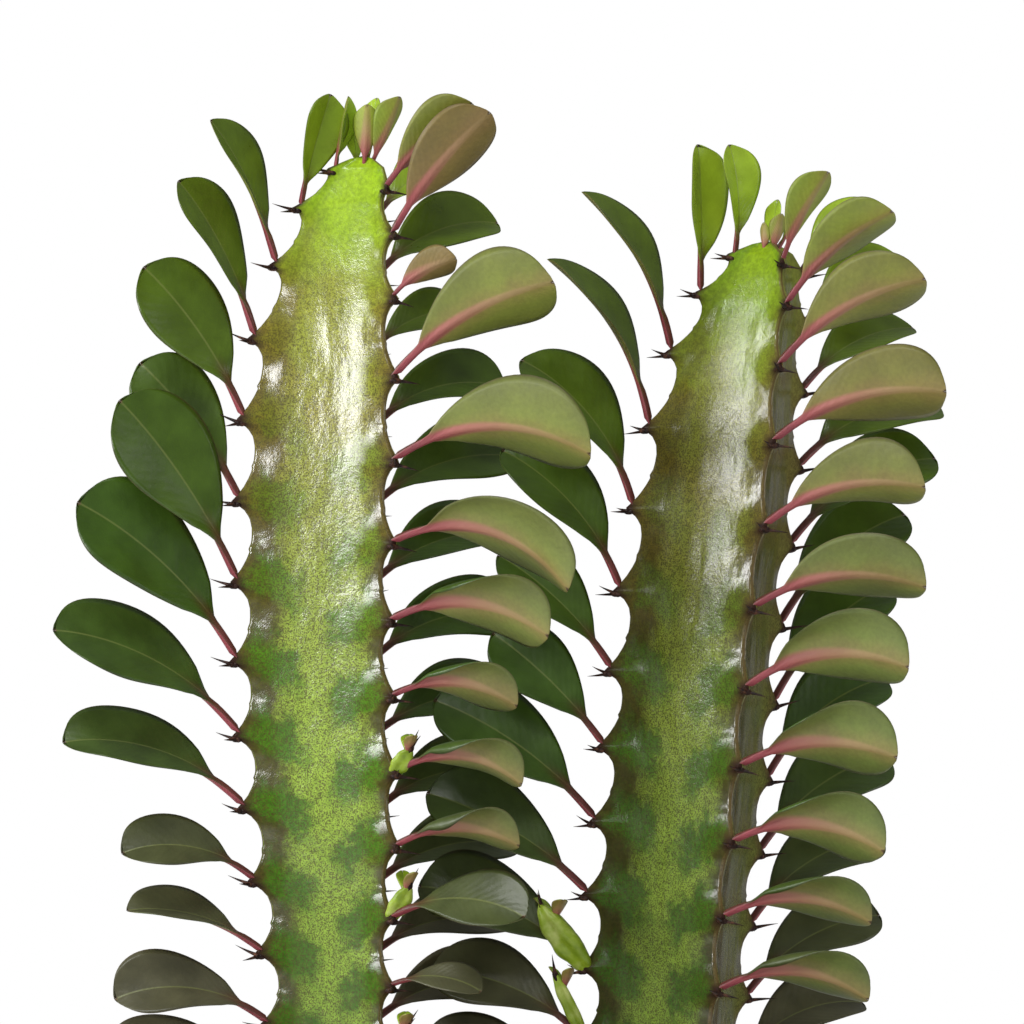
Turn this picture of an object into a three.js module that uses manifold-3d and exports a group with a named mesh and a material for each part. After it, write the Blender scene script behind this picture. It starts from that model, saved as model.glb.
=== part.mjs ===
// Potted euphorbia: two upright, three-winged succulent stems with leaves and paired spines,
// growing from compost in a tapered clay pot.
// Units: millimetres. +Z is up, +X is to the right seen from the front, the front faces -Y.
// The origin is the centre of the pot's flat underside.
import * as THREE from 'three';
import { mergeVertices } from 'three/addons/utils/BufferGeometryUtils.js';
import Module from 'manifold-3d';

const wasm = await Module();
wasm.setup();

// ---------------------------------------------------------------- driving dimensions

const GAP = 0.3; // clearance between pieces that touch

const POT = {
  height: 150,
  rimRadius: 86, // outside, at the top
  baseRadius: 60, // outside, at the underside
  wall: 6,
  floor: 9,
  collarHeight: 26, // the thicker band below the rim
  collarStep: 3,
  roundedEdge: 1.5,
  drainRadius: 7,
  drainCircle: 34,
  drainCount: 4,
  drainSides: 10,
  sides: 36,
};

const SOIL = {
  top: 138,
  roughness: 1.6, // height of the lumps on its surface
  rings: 5,
  sides: 28,
  crown: 2, // the middle stands this much higher than the edge
};

const RIB = {
  tipHalfThickness: 0.8, // a rib's margin at a tubercle
  sinusHalfThickness: 1.5, // and in the hollow between two tubercles
  scallop: 5.2, // depth of that hollow on a full-grown rib
  faceSag: 2.7, // how far a face between two ribs is hollowed
  sagPower: 2.6, // and how late that hollow rises to the ribs
  facePoints: [-0.66, 0, 0.66], // places across a face, with its ribs at -1 and 1
  plainHollow: 0.5, // share of the scallop where the margin is plain
  fullReach: 22, // a rib this wide has its full scallops and hollowed faces
};

// Spines point to both sides of their rib, by spread, and a little down, by droop, in degrees.
const SPINE = { length: 5.5, halfWidth: 0.7, rooted: 1.6, lower: 0.6, spread: 42, droop: 6, sides: 3 };

const BLADE = {
  ribThickness: 1.15,
  edgeThickness: 0.85,
  widthToLength: 0.48,
  riseToWidest: 0.9, // powers of the outline's growth to its widest place
  fallToApex: 0.5, // and of its round end
  petiole: 0.17, // share of a leaf's length
  petioleHalfWidth: 1.1,
  petioleThickness: 2,
  rooted: 2.4, // how deep the petiole starts inside its tubercle
  lowRoot: -1.4, // height of that root over the tubercle, on a rib that is just starting
  highRoot: 1.6, // and on a grown one
};

// How far each leaf strays from the keyed values of its rib.
const LEAF_STRAY = { bearing: 5, foot: 3, tip: 6, length: 2, turn: 8, fold: 4 };

// Distance from one tubercle to the next, against distance below the stem's tip.
const SPACING = [[0, 10], [10, 16], [23, 19.5], [43, 22], [90, 21.5], [150, 20], [290, 17]];

const STEM_FOOT = 90; // height of the stems' buried ends
const PLAIN_TOP = SOIL.top + 5; // below this a stem is plain, so that it fits its hole in the soil
const LOWEST_LEAF = 178; // older leaves below this height have dropped

// Each stem's centre line and rib reach are keyed by height, [height, x, y, reach], with a low dome
// above its top.
// Each rib's leaves are keyed by distance below the tip: their bearing, the rise of a leaf at its
// foot and at its tip, its length, its turn about its own midrib and how far its two halves fold
// together. Bearings and azimuths are in degrees from the front, towards +X.
const STEMS = [
  {
    name: 'stem_left',
    seed: 11,
    axis: [
      [90, -42, -3, 20], [143, -42, -3, 20], [218, -44.3, -2, 22.8], [238, -44.8, -1, 24.2],
      [262, -45.2, -1, 27.3], [292, -47, 0, 27.6], [319, -47.3, 0, 27.5], [356, -46.4, 0, 27.4],
      [378, -45.6, 0, 26.6], [398, -44.3, 0, 24], [417, -41.6, 0, 20], [427, -40.8, 0, 16],
      [436, -38.7, 0, 9], [438.6, -38.1, 0, 3.4],
    ],
    top: 434.5,
    // small leaves crowded round the growing tip: [azimuth, rise, length]
    crown: [[66, 60, 21], [20, 76, 17], [150, 68, 20], [-150, 74, 13]],
    ribs: [
      {
        azimuth: -80,
        bearing: [[0, -80], [62, -82], [84, -110], [106, -78], [300, -80]],
        top: 435.4,
        seed: 21,
        foot: [[0, 98], [12, 104], [22, 79], [43, 73], [64, 70], [84, 66], [106, 65], [128, 60],
          [150, 54], [170, 47], [190, 40], [226, 38], [300, 38]],
        tip: [[0, 106], [12, 104], [22, 56], [43, 48], [64, 42], [84, 44], [106, 45], [130, 30],
          [150, 8], [170, -8], [190, -16], [206, 4], [226, -16], [300, -20]],
        length: [[0, 21], [12, 32], [24, 40], [45, 46], [64, 50], [84, 44], [106, 60], [150, 61],
          [170, 55], [190, 38], [210, 41], [226, 44], [245, 48], [300, 40]],
        turn: [[0, 35], [24, 30], [45, 40], [62, 64], [106, 70], [128, 60], [150, 50], [170, 38],
          [190, 44], [210, 22], [226, 46], [300, 46]],
        fold: [[0, 24], [60, 14], [150, 14], [200, 20], [300, 24]],
      },
      {
        azimuth: 40,
        bearing: [[0, 66]],
        top: 430,
        seed: 22,
        foot: [[0, 44], [16, 62], [36, 42], [56, 48], [78, 34], [100, 24], [178, 30], [220, 22],
          [300, 18]],
        tip: [[0, 26], [16, 42], [36, 12], [56, 10], [78, -26], [100, -46], [120, -38],
          [160, -38], [178, -22], [220, -30], [300, -32]],
        length: [[0, 30], [16, 43], [34, 20], [56, 57], [78, 61], [100, 61], [120, 51], [140, 38],
          [160, 40], [178, 36], [200, 43], [217, 25], [235, 34], [300, 34]],
        turn: [[0, 40], [36, 50], [60, 50], [78, 58], [120, 58], [178, 52], [190, 50],
          [200, -38], [300, -40]],
        fold: [[0, 12], [50, 18], [78, 22], [120, 20], [178, 24], [200, 10], [300, 12]],
      },
      {
        azimuth: 160,
        bearing: [[0, 120]],
        top: 422,
        seed: 23,
        foot: [[0, 58], [30, 48], [60, 46], [120, 42], [300, 34]],
        tip: [[0, 20], [30, 0], [60, -8], [120, -12], [300, -20]],
        length: [[0, 30], [12, 34], [28, 44], [48, 33], [70, 48], [110, 52], [170, 50], [300, 40]],
        turn: [[0, -36], [300, -44]],
        fold: [[0, 20], [300, 22]],
      },
    ],
  },
  {
    name: 'stem_right',
    seed: 12,
    axis: [
      [90, 40, 3, 24], [143, 40, 3, 24], [206, 47.8, 2, 28.6], [238, 49.2, 1, 29.4],
      [257, 51.8, 0, 30], [299, 55.6, 0, 29.4], [320, 57.5, 0, 29.2], [342, 60.8, 0, 29.2],
      [364, 63.5, 0, 27.6], [384, 66, 0, 24.6], [400, 69.5, 0, 21], [407, 70.3, 0, 16.5],
      [413, 70.7, 0, 10.5], [415.6, 70.8, 0, 3.8],
    ],
    top: 412.5,
    crown: [[40, 66, 11], [-20, 82, 8], [110, 56, 22], [150, 70, 15]],
    ribs: [
      {
        azimuth: -101,
        bearing: [[0, -101]],
        top: 412.4,
        seed: 31,
        foot: [[0, 96], [10, 89], [25, 78], [45, 85], [67, 74], [89, 69], [110, 60], [130, 56],
          [206, 42], [300, 34]],
        tip: [[0, 80], [10, 92], [25, 34], [45, 40], [67, 30], [89, 26], [110, 34], [130, 38],
          [150, 22], [206, 4], [300, -8]],
        length: [[0, 29], [12, 42], [28, 50], [48, 54], [67, 53], [89, 51], [112, 46], [132, 42],
          [150, 55], [206, 50], [300, 42]],
        turn: [[0, 40], [14, 30], [25, 4], [45, 5], [67, 27], [89, 36], [110, 52], [300, 52]],
        fold: [[0, 22], [14, 22], [25, 17], [45, 17], [80, 16], [300, 20]],
      },
      {
        azimuth: 19,
        bearing: [[0, 66]],
        top: 410,
        seed: 32,
        foot: [[0, 72], [12, 54], [30, 46], [48, 40], [70, 36], [115, 33], [137, 29], [197, 26],
          [300, 20]],
        tip: [[0, 56], [12, 28], [30, 4], [48, -2], [70, -16], [115, -16], [137, -27],
          [197, -30], [300, -36]],
        length: [[0, 26], [12, 38], [30, 46], [48, 51], [115, 50], [137, 46], [197, 44],
          [300, 38]],
        turn: [[0, 16], [30, 46], [70, 58], [115, 60], [150, 60], [300, 58]],
        fold: [[0, 18], [30, 20], [70, 20], [115, 22], [300, 24]],
      },
      {
        azimuth: 139,
        bearing: [[0, 120]],
        top: 407,
        seed: 33,
        foot: [[0, 58], [30, 48], [57, 44], [80, 50], [110, 58], [160, 54], [300, 44]],
        tip: [[0, 30], [30, 4], [57, -4], [80, 8], [110, 22], [160, 8], [300, -10]],
        length: [[0, 28], [20, 38], [37, 42], [60, 50], [160, 50], [300, 42]],
        turn: [[0, -24], [75, -38], [300, -46]],
        fold: [[0, 20], [75, 16], [300, 20]],
      },
    ],
  },
];

// Young side shoots, by the stem, rib and tubercle that each grows from.
const YOUNG_SHOOTS = [
  { stem: 'stem_right', rib: 0, tubercle: 10, rise: 52, azimuth: -92, length: 22, reach: 3.6 },
  { stem: 'stem_right', rib: 0, tubercle: 11, rise: 64, azimuth: -84, length: 21, reach: 1.8 },
  { stem: 'stem_left', rib: 1, tubercle: 8, rise: 50, azimuth: 62, length: 9, reach: 2.2 },
  { stem: 'stem_left', rib: 1, tubercle: 10, rise: 56, azimuth: 74, length: 11, reach: 2.4 },
  { stem: 'stem_left', rib: 1, tubercle: 12, rise: 52, azimuth: 60, length: 10, reach: 2.3 },
];
const SHOOT = { sides: 5, rooted: 3, leafletPlace: 0.7, leafletTurns: [-40, 110], leafletLength: 6 };

// ---------------------------------------------------------------- materials

const material = (name, color, roughness) =>
  new THREE.MeshStandardMaterial({ name, color, roughness, metalness: 0 });

const MATERIALS = {
  clay: material('unglazed terracotta', 0xb5683f, 0.85),
  compost: material('potting compost', 0x3a281c, 0.95),
  plant: material('living succulent stem and leaf', 0x4f7a2a, 0.4),
};

// ---------------------------------------------------------------- small helpers

const radians = THREE.MathUtils.degToRad;

// A value between 0 and 1 that depends only on its two whole-number arguments.
function draw(seed, index) {
  const wave = Math.sin(seed * 12.9898 + index * 78.233) * 43758.5453;
  return wave - Math.floor(wave);
}

const jitter = (seed, index, amount) => (draw(seed, index) * 2 - 1) * amount;

// Straight-line reading of a keyed list [[place, value, ...], ...] at a place.
function readKeys(keys, place, column = 1) {
  if (place <= keys[0][0]) return keys[0][column];
  for (let i = 1; i < keys.length; i += 1) {
    const [before, after] = [keys[i - 1], keys[i]];
    if (place <= after[0]) {
      const share = (place - before[0]) / (after[0] - before[0]);
      return before[column] + (after[column] - before[column]) * share;
    }
  }
  return keys[keys.length - 1][column];
}

// Outward direction on the ground for an azimuth, and the direction to its left.
const outward = (azimuth) =>
  new THREE.Vector3(Math.sin(radians(azimuth)), -Math.cos(radians(azimuth)), 0);
const sideways = (azimuth) =>
  new THREE.Vector3(Math.cos(radians(azimuth)), Math.sin(radians(azimuth)), 0);

function bufferGeometry(points, triangles) {
  const geometry = new THREE.BufferGeometry();
  geometry.setAttribute('position', new THREE.Float32BufferAttribute(points.flat(), 3));
  geometry.setIndex(triangles.flat());
  return geometry;
}

// A closed body through rings of points that all have the same number of corners. The rings
// follow each other so that the outside is on the right-hand side of ring order.
function loft(rings) {
  const count = rings[0].length;
  const points = rings.flat();
  const triangles = [];
  for (let r = 0; r + 1 < rings.length; r += 1) {
    for (let i = 0; i < count; i += 1) {
      const next = (i + 1) % count;
      const [a, b] = [r * count + i, r * count + next];
      const [c, d] = [(r + 1) * count + next, (r + 1) * count + i];
      triangles.push([a, b, c], [a, c, d]);
    }
  }
  const middle = (ring) => [0, 1, 2].map((axis) =>
    ring.reduce((sum, point) => sum + point[axis], 0) / count);
  const first = points.push(middle(rings[0])) - 1;
  const last = points.push(middle(rings[rings.length - 1])) - 1;
  const end = (rings.length - 1) * count;
  for (let i = 0; i < count; i += 1) {
    const next = (i + 1) % count;
    triangles.push([first, next, i], [last, end + i, end + next]);
  }
  return bufferGeometry(points, triangles);
}

function toSolid(geometry) {
  const plain = geometry.clone();
  plain.deleteAttribute('normal');
  plain.deleteAttribute('uv');
  const merged = mergeVertices(plain, 1e-4);
  return new wasm.Manifold(new wasm.Mesh({
    numProp: 3,
    vertProperties: new Float32Array(merged.attributes.position.array),
    triVerts: new Uint32Array(merged.index.array),
  }));
}

// The one grown body of a solid: loose scraps and sealed hollows are left behind.
function largestBody(solid) {
  return solid.decompose().reduce((best, body) => (body.volume() > best.volume() ? body : best));
}

function toMesh(name, solid, surface) {
  const { vertProperties, triVerts } = solid.getMesh();
  const geometry = new THREE.BufferGeometry();
  geometry.setAttribute('position', new THREE.BufferAttribute(vertProperties, 3));
  geometry.setIndex(new THREE.BufferAttribute(triVerts, 1));
  geometry.computeVertexNormals();
  const mesh = new THREE.Mesh(geometry, surface);
  mesh.name = name;
  return mesh;
}

// ---------------------------------------------------------------- stem

const domeHeight = (stem) => stem.axis[stem.axis.length - 1][0];

const axisPoint = (stem, height) =>
  new THREE.Vector3(readKeys(stem.axis, height, 1), readKeys(stem.axis, height, 2), height);

// How far a stem is grown where its ribs have this reach, from 0 at its tip to 1.
const grownShare = (reach) => Math.min(1, reach / RIB.fullReach);

// Tubercle heights of one rib, from the top down to the compost.
function tubercleHeights(stem, rib) {
  const heights = [rib.top];
  while (heights[heights.length - 1] > SOIL.top + readKeys(SPACING, 300)) {
    const height = heights[heights.length - 1];
    const wobble = 1 + jitter(rib.seed, heights.length, 0.03);
    heights.push(height - readKeys(SPACING, stem.top - height) * wobble);
  }
  return heights;
}

// The margin of a rib between two tubercles: how far down towards the next one, and the depth
// of the hollow there. It bites in under the upper tubercle and comes out slowly to the next.
const SCALLOP = [[0, 0], [0.12, 0.65], [0.38, 1], [0.76, 0.7]];

// Stations down a rib, from the tip of the stem to its foot: [height, depth of hollow].
function ribStations(stem, rib) {
  const heights = tubercleHeights(stem, rib);
  const stations = [];
  for (let i = 0; i + 1 < heights.length; i += 1) {
    for (const [share, depth] of SCALLOP) {
      const height = heights[i] + (heights[i + 1] - heights[i]) * share;
      stations.push([height, depth]);
    }
  }
  return stations;
}

// One corner pair of a rib's margin and the points of the face after it, at one height.
function stemRing(stem, marks, clearance = 0) {
  const ring = [];
  stem.ribs.forEach((rib, index) => {
    const after = stem.ribs[(index + 1) % stem.ribs.length];
    const [height, depth] = marks[index];
    const nextHeight = marks[(index + 1) % stem.ribs.length][0];
    const at = (place) => [1, 2].map((column) => readKeys(stem.axis, place, column));
    const reach = readKeys(stem.axis, height, 3);
    const tipReach = reach - depth * RIB.scallop * grownShare(reach) + clearance;
    const half = THREE.MathUtils.lerp(RIB.tipHalfThickness, RIB.sinusHalfThickness, depth)
      + clearance;
    const [x, y] = at(height);
    const [out, side] = [outward(rib.azimuth), sideways(rib.azimuth)];
    for (const sign of [-1, 1]) {
      ring.push([
        x + out.x * tipReach + side.x * half * sign,
        y + out.y * tipReach + side.y * half * sign,
        height,
      ]);
    }
    // the face curves inwards between this rib and the next
    const turn = ((after.azimuth - rib.azimuth) % 360 + 360) % 360;
    const [faceOut, faceSide] = [outward(rib.azimuth + turn / 2), sideways(rib.azimuth + turn / 2)];
    for (const share of RIB.facePoints) {
      const blend = (share + 1) / 2;
      const place = height + (nextHeight - height) * blend;
      const [cx, cy] = at(place);
      const full = readKeys(stem.axis, place, 3);
      const sag = RIB.faceSag * grownShare(full);
      const across = share * full * Math.sin(radians(turn / 2));
      const away = full * Math.cos(radians(turn / 2)) - sag
        + sag * Math.abs(share) ** RIB.sagPower + clearance;
      ring.push([
        cx + faceOut.x * away + faceSide.x * across,
        cy + faceOut.y * away + faceSide.y * across,
        place,
      ]);
    }
  });
  return ring;
}

// The marks of every ring of a column from its tip down, as long as all its ribs have some left.
function stemMarks(stem) {
  const stations = stem.ribs.map((rib) => ribStations(stem, rib));
  const count = Math.min(...stations.map((list) => list.length));
  return Array.from({ length: count }, (_, i) => stations.map((list) => list[i]))
    .filter((marks) => Math.min(...marks.map(([height]) => height)) > PLAIN_TOP + 1);
}

function stemColumn(stem) {
  const level = (height) => stemRing(stem, stem.ribs.map(() => [height, RIB.plainHollow]));
  const grown = stemMarks(stem).reverse().map((marks) => stemRing(stem, marks));
  return loft([level(STEM_FOOT), level(PLAIN_TOP), ...grown, level(domeHeight(stem))]);
}

// ---------------------------------------------------------------- leaf

// Half width of a blade along its length, 0 at the petiole and 1 at the apex: widest past the
// middle and round at the end.
function bladeWidth(share) {
  const { riseToWidest: rise, fallToApex: fall } = BLADE;
  const shape = (t) => t ** rise * (1 - t) ** fall;
  return shape(share) / shape(rise / (rise + fall));
}

// Places along a leaf where its section is set, from the root of the petiole to the apex.
const LEAF_STATIONS = [0, BLADE.petiole, 0.38, 0.62, 0.84, 0.975];
const LEAFLET_STATIONS = [0, 0.42, 0.8, 0.97];
const LEAFLET_LENGTH = 26; // leaves under this length have fewer places

// One leaf: a midrib that bends evenly from its foot angle to its tip angle, and two halves
// that fold up from it. Both faces are split into triangles alike.
function leafGeometry({ root, bearing, foot, tip, length, turn, fold }) {
  const [out, side] = [outward(bearing), sideways(bearing)];
  const up = new THREE.Vector3(0, 0, 1);
  const [start, bend] = [radians(foot), radians(tip - foot) || 1e-4];
  const stations = length > LEAFLET_LENGTH ? LEAF_STATIONS : LEAFLET_STATIONS;
  const rings = stations.map((station) => {
    const angle = start + bend * station;
    const along = (length / bend) * (Math.sin(angle) - Math.sin(start));
    const rise = (length / bend) * (Math.cos(start) - Math.cos(angle));
    const centre = root.clone().addScaledVector(out, along).addScaledVector(up, rise);
    const normal = up.clone().multiplyScalar(Math.cos(angle))
      .addScaledVector(out, -Math.sin(angle));
    // the petiole carries the turn, so the blade beyond it is turned in full
    const roll = radians(turn) * Math.min(1, station / (BLADE.petiole * 2));
    const across = side.clone().multiplyScalar(Math.cos(roll))
      .addScaledVector(normal, -Math.sin(roll));
    const face = normal.clone().multiplyScalar(Math.cos(roll))
      .addScaledVector(side, Math.sin(roll));
    const share = (station - BLADE.petiole) / (1 - BLADE.petiole);
    const petiole = station <= BLADE.petiole;
    const bladeHalf = petiole ? 0 : bladeWidth(share) * length * BLADE.widthToLength / 2;
    const half = Math.max(BLADE.petioleHalfWidth, bladeHalf);
    const lift = radians(petiole ? 0 : fold);
    const edge = (sign) => centre.clone()
      .addScaledVector(across, sign * half * Math.cos(lift))
      .addScaledVector(face, half * Math.sin(lift));
    const edgeThickness = petiole ? BLADE.petioleThickness : BLADE.edgeThickness;
    const ribThickness = petiole ? BLADE.petioleThickness : BLADE.ribThickness;
    const thick = [edgeThickness, ribThickness, edgeThickness];
    const middleLine = [edge(-1), centre, edge(1)];
    const upper = middleLine.map((point, i) => point.clone().addScaledVector(face, thick[i] / 2));
    const lower = middleLine.map((point, i) => point.clone().addScaledVector(face, -thick[i] / 2));
    return { upper, lower };
  });
  const points = rings.flatMap(({ upper, lower }) =>
    [...upper, ...lower].map((point) => point.toArray()));
  const triangles = [];
  const quad = (a, b, c, d) => triangles.push([a, c, b], [a, d, c]);
  const flipped = (a, b, c, d) => triangles.push([a, b, c], [a, c, d]);
  for (let r = 0; r + 1 < rings.length; r += 1) {
    const [here, next] = [r * 6, (r + 1) * 6];
    for (const i of [0, 1]) {
      flipped(here + i, next + i, next + i + 1, here + i + 1);
      quad(here + i + 3, next + i + 3, next + i + 4, here + i + 4);
    }
    quad(here, next, next + 3, here + 3);
    flipped(here + 2, next + 2, next + 5, here + 5);
  }
  const end = (rings.length - 1) * 6;
  for (const i of [0, 1]) {
    flipped(i, i + 1, i + 4, i + 3);
    quad(end + i, end + i + 1, end + i + 4, end + i + 3);
  }
  return bufferGeometry(points, triangles);
}

// ---------------------------------------------------------------- spines and shoots

// A three-sided needle from a point, along a direction.
function spineGeometry(root, direction, length) {
  const needle = new THREE.ConeGeometry(SPINE.halfWidth, length, SPINE.sides);
  needle.translate(0, length / 2, 0);
  needle.applyQuaternion(new THREE.Quaternion().setFromUnitVectors(
    new THREE.Vector3(0, 1, 0),
    direction.clone().normalize(),
  ));
  return needle.translate(root.x, root.y, root.z);
}

// The pair of spines of one tubercle, spread to both sides of the rib.
function spinePair(tubercle, rib, size) {
  return [-1, 1].map((sign) => {
    const direction = outward(rib.azimuth + sign * SPINE.spread);
    direction.z = -Math.tan(radians(SPINE.droop));
    const root = tubercle.clone().addScaledVector(outward(rib.azimuth), -SPINE.rooted);
    root.z -= SPINE.lower;
    return spineGeometry(root, direction, SPINE.length * size + SPINE.rooted);
  });
}

// A young side shoot: a small bud, widest at its middle, with a pair of leaflets near its tip.
function shootGeometries(root, { rise, azimuth, length, reach }) {
  const direction = outward(azimuth).multiplyScalar(Math.cos(radians(rise)));
  direction.z = Math.sin(radians(rise));
  const outline = [[0, 0], [0.6, 0.04], [0.95, 0.3], [1, 0.55], [0.7, 0.85], [0, 1]]
    .map(([wide, far]) => new THREE.Vector2(wide * reach, far * length));
  const bud = new THREE.LatheGeometry(outline, SHOOT.sides);
  bud.applyQuaternion(new THREE.Quaternion().setFromUnitVectors(new THREE.Vector3(0, 1, 0), direction));
  bud.translate(root.x, root.y, root.z);
  const leaflets = SHOOT.leafletTurns.map((turn) => leafGeometry({
    root: root.clone().addScaledVector(direction, length * SHOOT.leafletPlace),
    bearing: azimuth + turn,
    foot: rise + 8,
    tip: rise - 24,
    length: SHOOT.leafletLength + reach,
    turn: 0,
    fold: 20,
  }));
  return [bud, ...leaflets];
}

// ---------------------------------------------------------------- whole stem

// The keyed values of a rib at a distance below its stem's tip, each strayed for this leaf.
function leafValues(rib, below, index) {
  return Object.fromEntries(Object.entries(LEAF_STRAY).map(([key, stray], order) =>
    [key, readKeys(rib[key], below) + jitter(rib.seed, index + 100 * (order + 1), stray)]));
}

function buildStem(stem) {
  const grown = [];
  const tubercleCount = Math.ceil(stemMarks(stem).length / SCALLOP.length);
  stem.ribs.forEach((rib, ribIndex) => {
    tubercleHeights(stem, rib).slice(0, tubercleCount).forEach((height, index) => {
      const reach = readKeys(stem.axis, height, 3);
      const tubercle = axisPoint(stem, height).addScaledVector(outward(rib.azimuth), reach);
      grown.push(...spinePair(tubercle, rib, 0.85 + draw(rib.seed, index) * 0.3));
      if (height > LOWEST_LEAF) {
        const root = tubercle.clone().addScaledVector(outward(rib.azimuth), -BLADE.rooted);
        root.z += THREE.MathUtils.lerp(BLADE.lowRoot, BLADE.highRoot, grownShare(reach));
        grown.push(leafGeometry({ root, ...leafValues(rib, stem.top - height, index) }));
      }
      const shoots = YOUNG_SHOOTS.filter((shoot) =>
        shoot.stem === stem.name && shoot.rib === ribIndex && shoot.tubercle === index);
      for (const shoot of shoots) {
        const root = tubercle.clone().addScaledVector(outward(rib.azimuth), -SHOOT.rooted);
        grown.push(...shootGeometries(root, shoot));
      }
    });
  });
  for (const [bearing, rise, length] of stem.crown) {
    const root = axisPoint(stem, domeHeight(stem) - 3).addScaledVector(outward(bearing), 2);
    grown.push(leafGeometry({ root, bearing, foot: rise, tip: rise + 8, length, turn: 20, fold: 24 }));
  }
  const solid = grown.map(toSolid).reduce((sum, piece) => sum.add(piece), toSolid(stemColumn(stem)));
  return toMesh(stem.name, largestBody(solid), MATERIALS.plant);
}

// ---------------------------------------------------------------- pot

// A body turned round the Z axis from an outline of [radius, height] points.
const turned = (outline, sides) =>
  new THREE.LatheGeometry(outline.map(([r, z]) => new THREE.Vector2(r, z)), sides).rotateX(Math.PI / 2);

function buildPot() {
  const { height, rimRadius, baseRadius, wall, floor, collarHeight, collarStep } = POT;
  const outer = (z) => THREE.MathUtils.lerp(baseRadius, rimRadius - collarStep, z / height);
  const collar = height - collarHeight;
  const edge = POT.roundedEdge;
  const profile = [
    [0, 0], [baseRadius - edge, 0], [baseRadius, edge],
    [outer(collar - 2), collar - 2], [outer(collar) + collarStep, collar + 1],
    [rimRadius, height - edge], [rimRadius - edge, height],
    [rimRadius - wall - collarStep + edge, height], [rimRadius - wall - collarStep, height - edge],
    [potInside(floor + 3), floor + 3], [potInside(floor) - 4, floor], [0, floor],
  ];
  const body = toSolid(turned(profile, POT.sides));
  const holes = Array.from({ length: POT.drainCount }, (_, i) => {
    const angle = (i + 0.5) * (Math.PI * 2 / POT.drainCount);
    const [x, y] = [Math.cos(angle) * POT.drainCircle, Math.sin(angle) * POT.drainCircle];
    const hole = new THREE.CylinderGeometry(POT.drainRadius, POT.drainRadius, floor * 3, POT.drainSides);
    return toSolid(hole.rotateX(Math.PI / 2).translate(x, y, floor / 2));
  });
  return toMesh('pot', holes.reduce((left, hole) => left.subtract(hole), body), MATERIALS.clay);
}

// Inside radius of the pot at a height.
function potInside(z) {
  const { height, rimRadius, baseRadius, wall, collarStep } = POT;
  return THREE.MathUtils.lerp(baseRadius - wall, rimRadius - wall - collarStep, z / height);
}

// ---------------------------------------------------------------- soil

// The compost fills the pot to just below its rim. Each stem stands in a plain hole that has
// the stem's own three-cornered outline.
function buildSoil() {
  const { top, rings, sides, roughness, crown } = SOIL;
  const floor = POT.floor + GAP;
  const corner = 6; // the pot's rounded inside corner
  const edge = potInside(top - crown) - GAP * 2;
  const outline = [
    [0, floor],
    [potInside(floor) - corner, floor],
    [potInside(floor + corner) - GAP, floor + corner],
  ];
  for (let i = 0; i <= rings; i += 1) {
    const share = 1 - i / rings;
    outline.push([edge * share, top + crown * (1 - share ** 2 - share ** 6)]);
  }
  const geometry = turned(outline, sides);
  const place = geometry.attributes.position;
  for (let i = 0; i < place.count; i += 1) {
    const [x, y, z] = [place.getX(i), place.getY(i), place.getZ(i)];
    const onTop = z > top - crown * 2 && Math.hypot(x, y) > 1;
    if (onTop) place.setZ(i, z + jitter(Math.round(x * 2), Math.round(y * 2), roughness));
  }
  const holes = STEMS.map((stem) => {
    const outlineAt = (height) =>
      stemRing(stem, stem.ribs.map(() => [STEM_FOOT, RIB.plainHollow]), GAP)
        .map(([x, y]) => [x, y, height]);
    return toSolid(loft([outlineAt(STEM_FOOT - GAP), outlineAt(top + crown * 5)]));
  });
  const solid = holes.reduce((left, hole) => left.subtract(hole), toSolid(geometry));
  return toMesh('soil', largestBody(solid), MATERIALS.compost);
}

// ---------------------------------------------------------------- the whole plant

const plant = new THREE.Group();
plant.name = 'potted_euphorbia';
plant.add(buildPot(), buildSoil(), ...STEMS.map(buildStem));

export default plant;
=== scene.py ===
import math

import bpy
import numpy as np
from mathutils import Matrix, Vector, noise


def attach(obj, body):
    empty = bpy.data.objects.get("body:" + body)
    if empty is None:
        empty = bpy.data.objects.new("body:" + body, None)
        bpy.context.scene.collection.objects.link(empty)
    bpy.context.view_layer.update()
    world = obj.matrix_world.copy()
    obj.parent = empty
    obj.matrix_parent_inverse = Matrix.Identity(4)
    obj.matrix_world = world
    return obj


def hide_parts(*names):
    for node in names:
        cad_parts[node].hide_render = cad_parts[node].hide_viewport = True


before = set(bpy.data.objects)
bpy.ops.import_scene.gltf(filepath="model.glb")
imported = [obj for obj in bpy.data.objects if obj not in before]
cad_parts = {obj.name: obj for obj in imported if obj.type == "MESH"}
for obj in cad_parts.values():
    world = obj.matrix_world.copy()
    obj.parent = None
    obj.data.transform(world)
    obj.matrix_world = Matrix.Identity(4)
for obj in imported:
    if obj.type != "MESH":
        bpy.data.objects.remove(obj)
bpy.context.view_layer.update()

# Lengths in this file are millimetres, until a mesh or a node takes them in metres.
MM = 0.001


# ---------------------------------------------------------------- the clay pot
# A plain tapered plant pot with a thicker collar below its rim and four drain holes. It is red
# clay, pressed in a mould, trimmed on a wheel and fired without a glaze, so its wall keeps fine
# turning lines and, where water has dried through it, a pale bloom of lime.

POT_HEIGHT = 150
RIM_RADIUS = 86
BASE_RADIUS = 60
WALL = 6
POT_FLOOR = 9
COLLAR_HEIGHT = 26
COLLAR_STEP = 3
COLLAR_SLOPE = 2  # its underside slopes, so that the pot leaves its mould
POT_ROUNDING = 1.8
DRAIN_RADIUS = 7
DRAIN_CIRCLE = 34
DRAIN_HOLES = 4
POT_SIDES = 160
HOLE_SIDES = 40
POT_CREASE = math.radians(40)  # the edges that bend more than this stay sharp
POT_SEAM = 0.02  # points closer than this are one where the turned wall closes

MATHS = "ShaderNodeMath"


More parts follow.
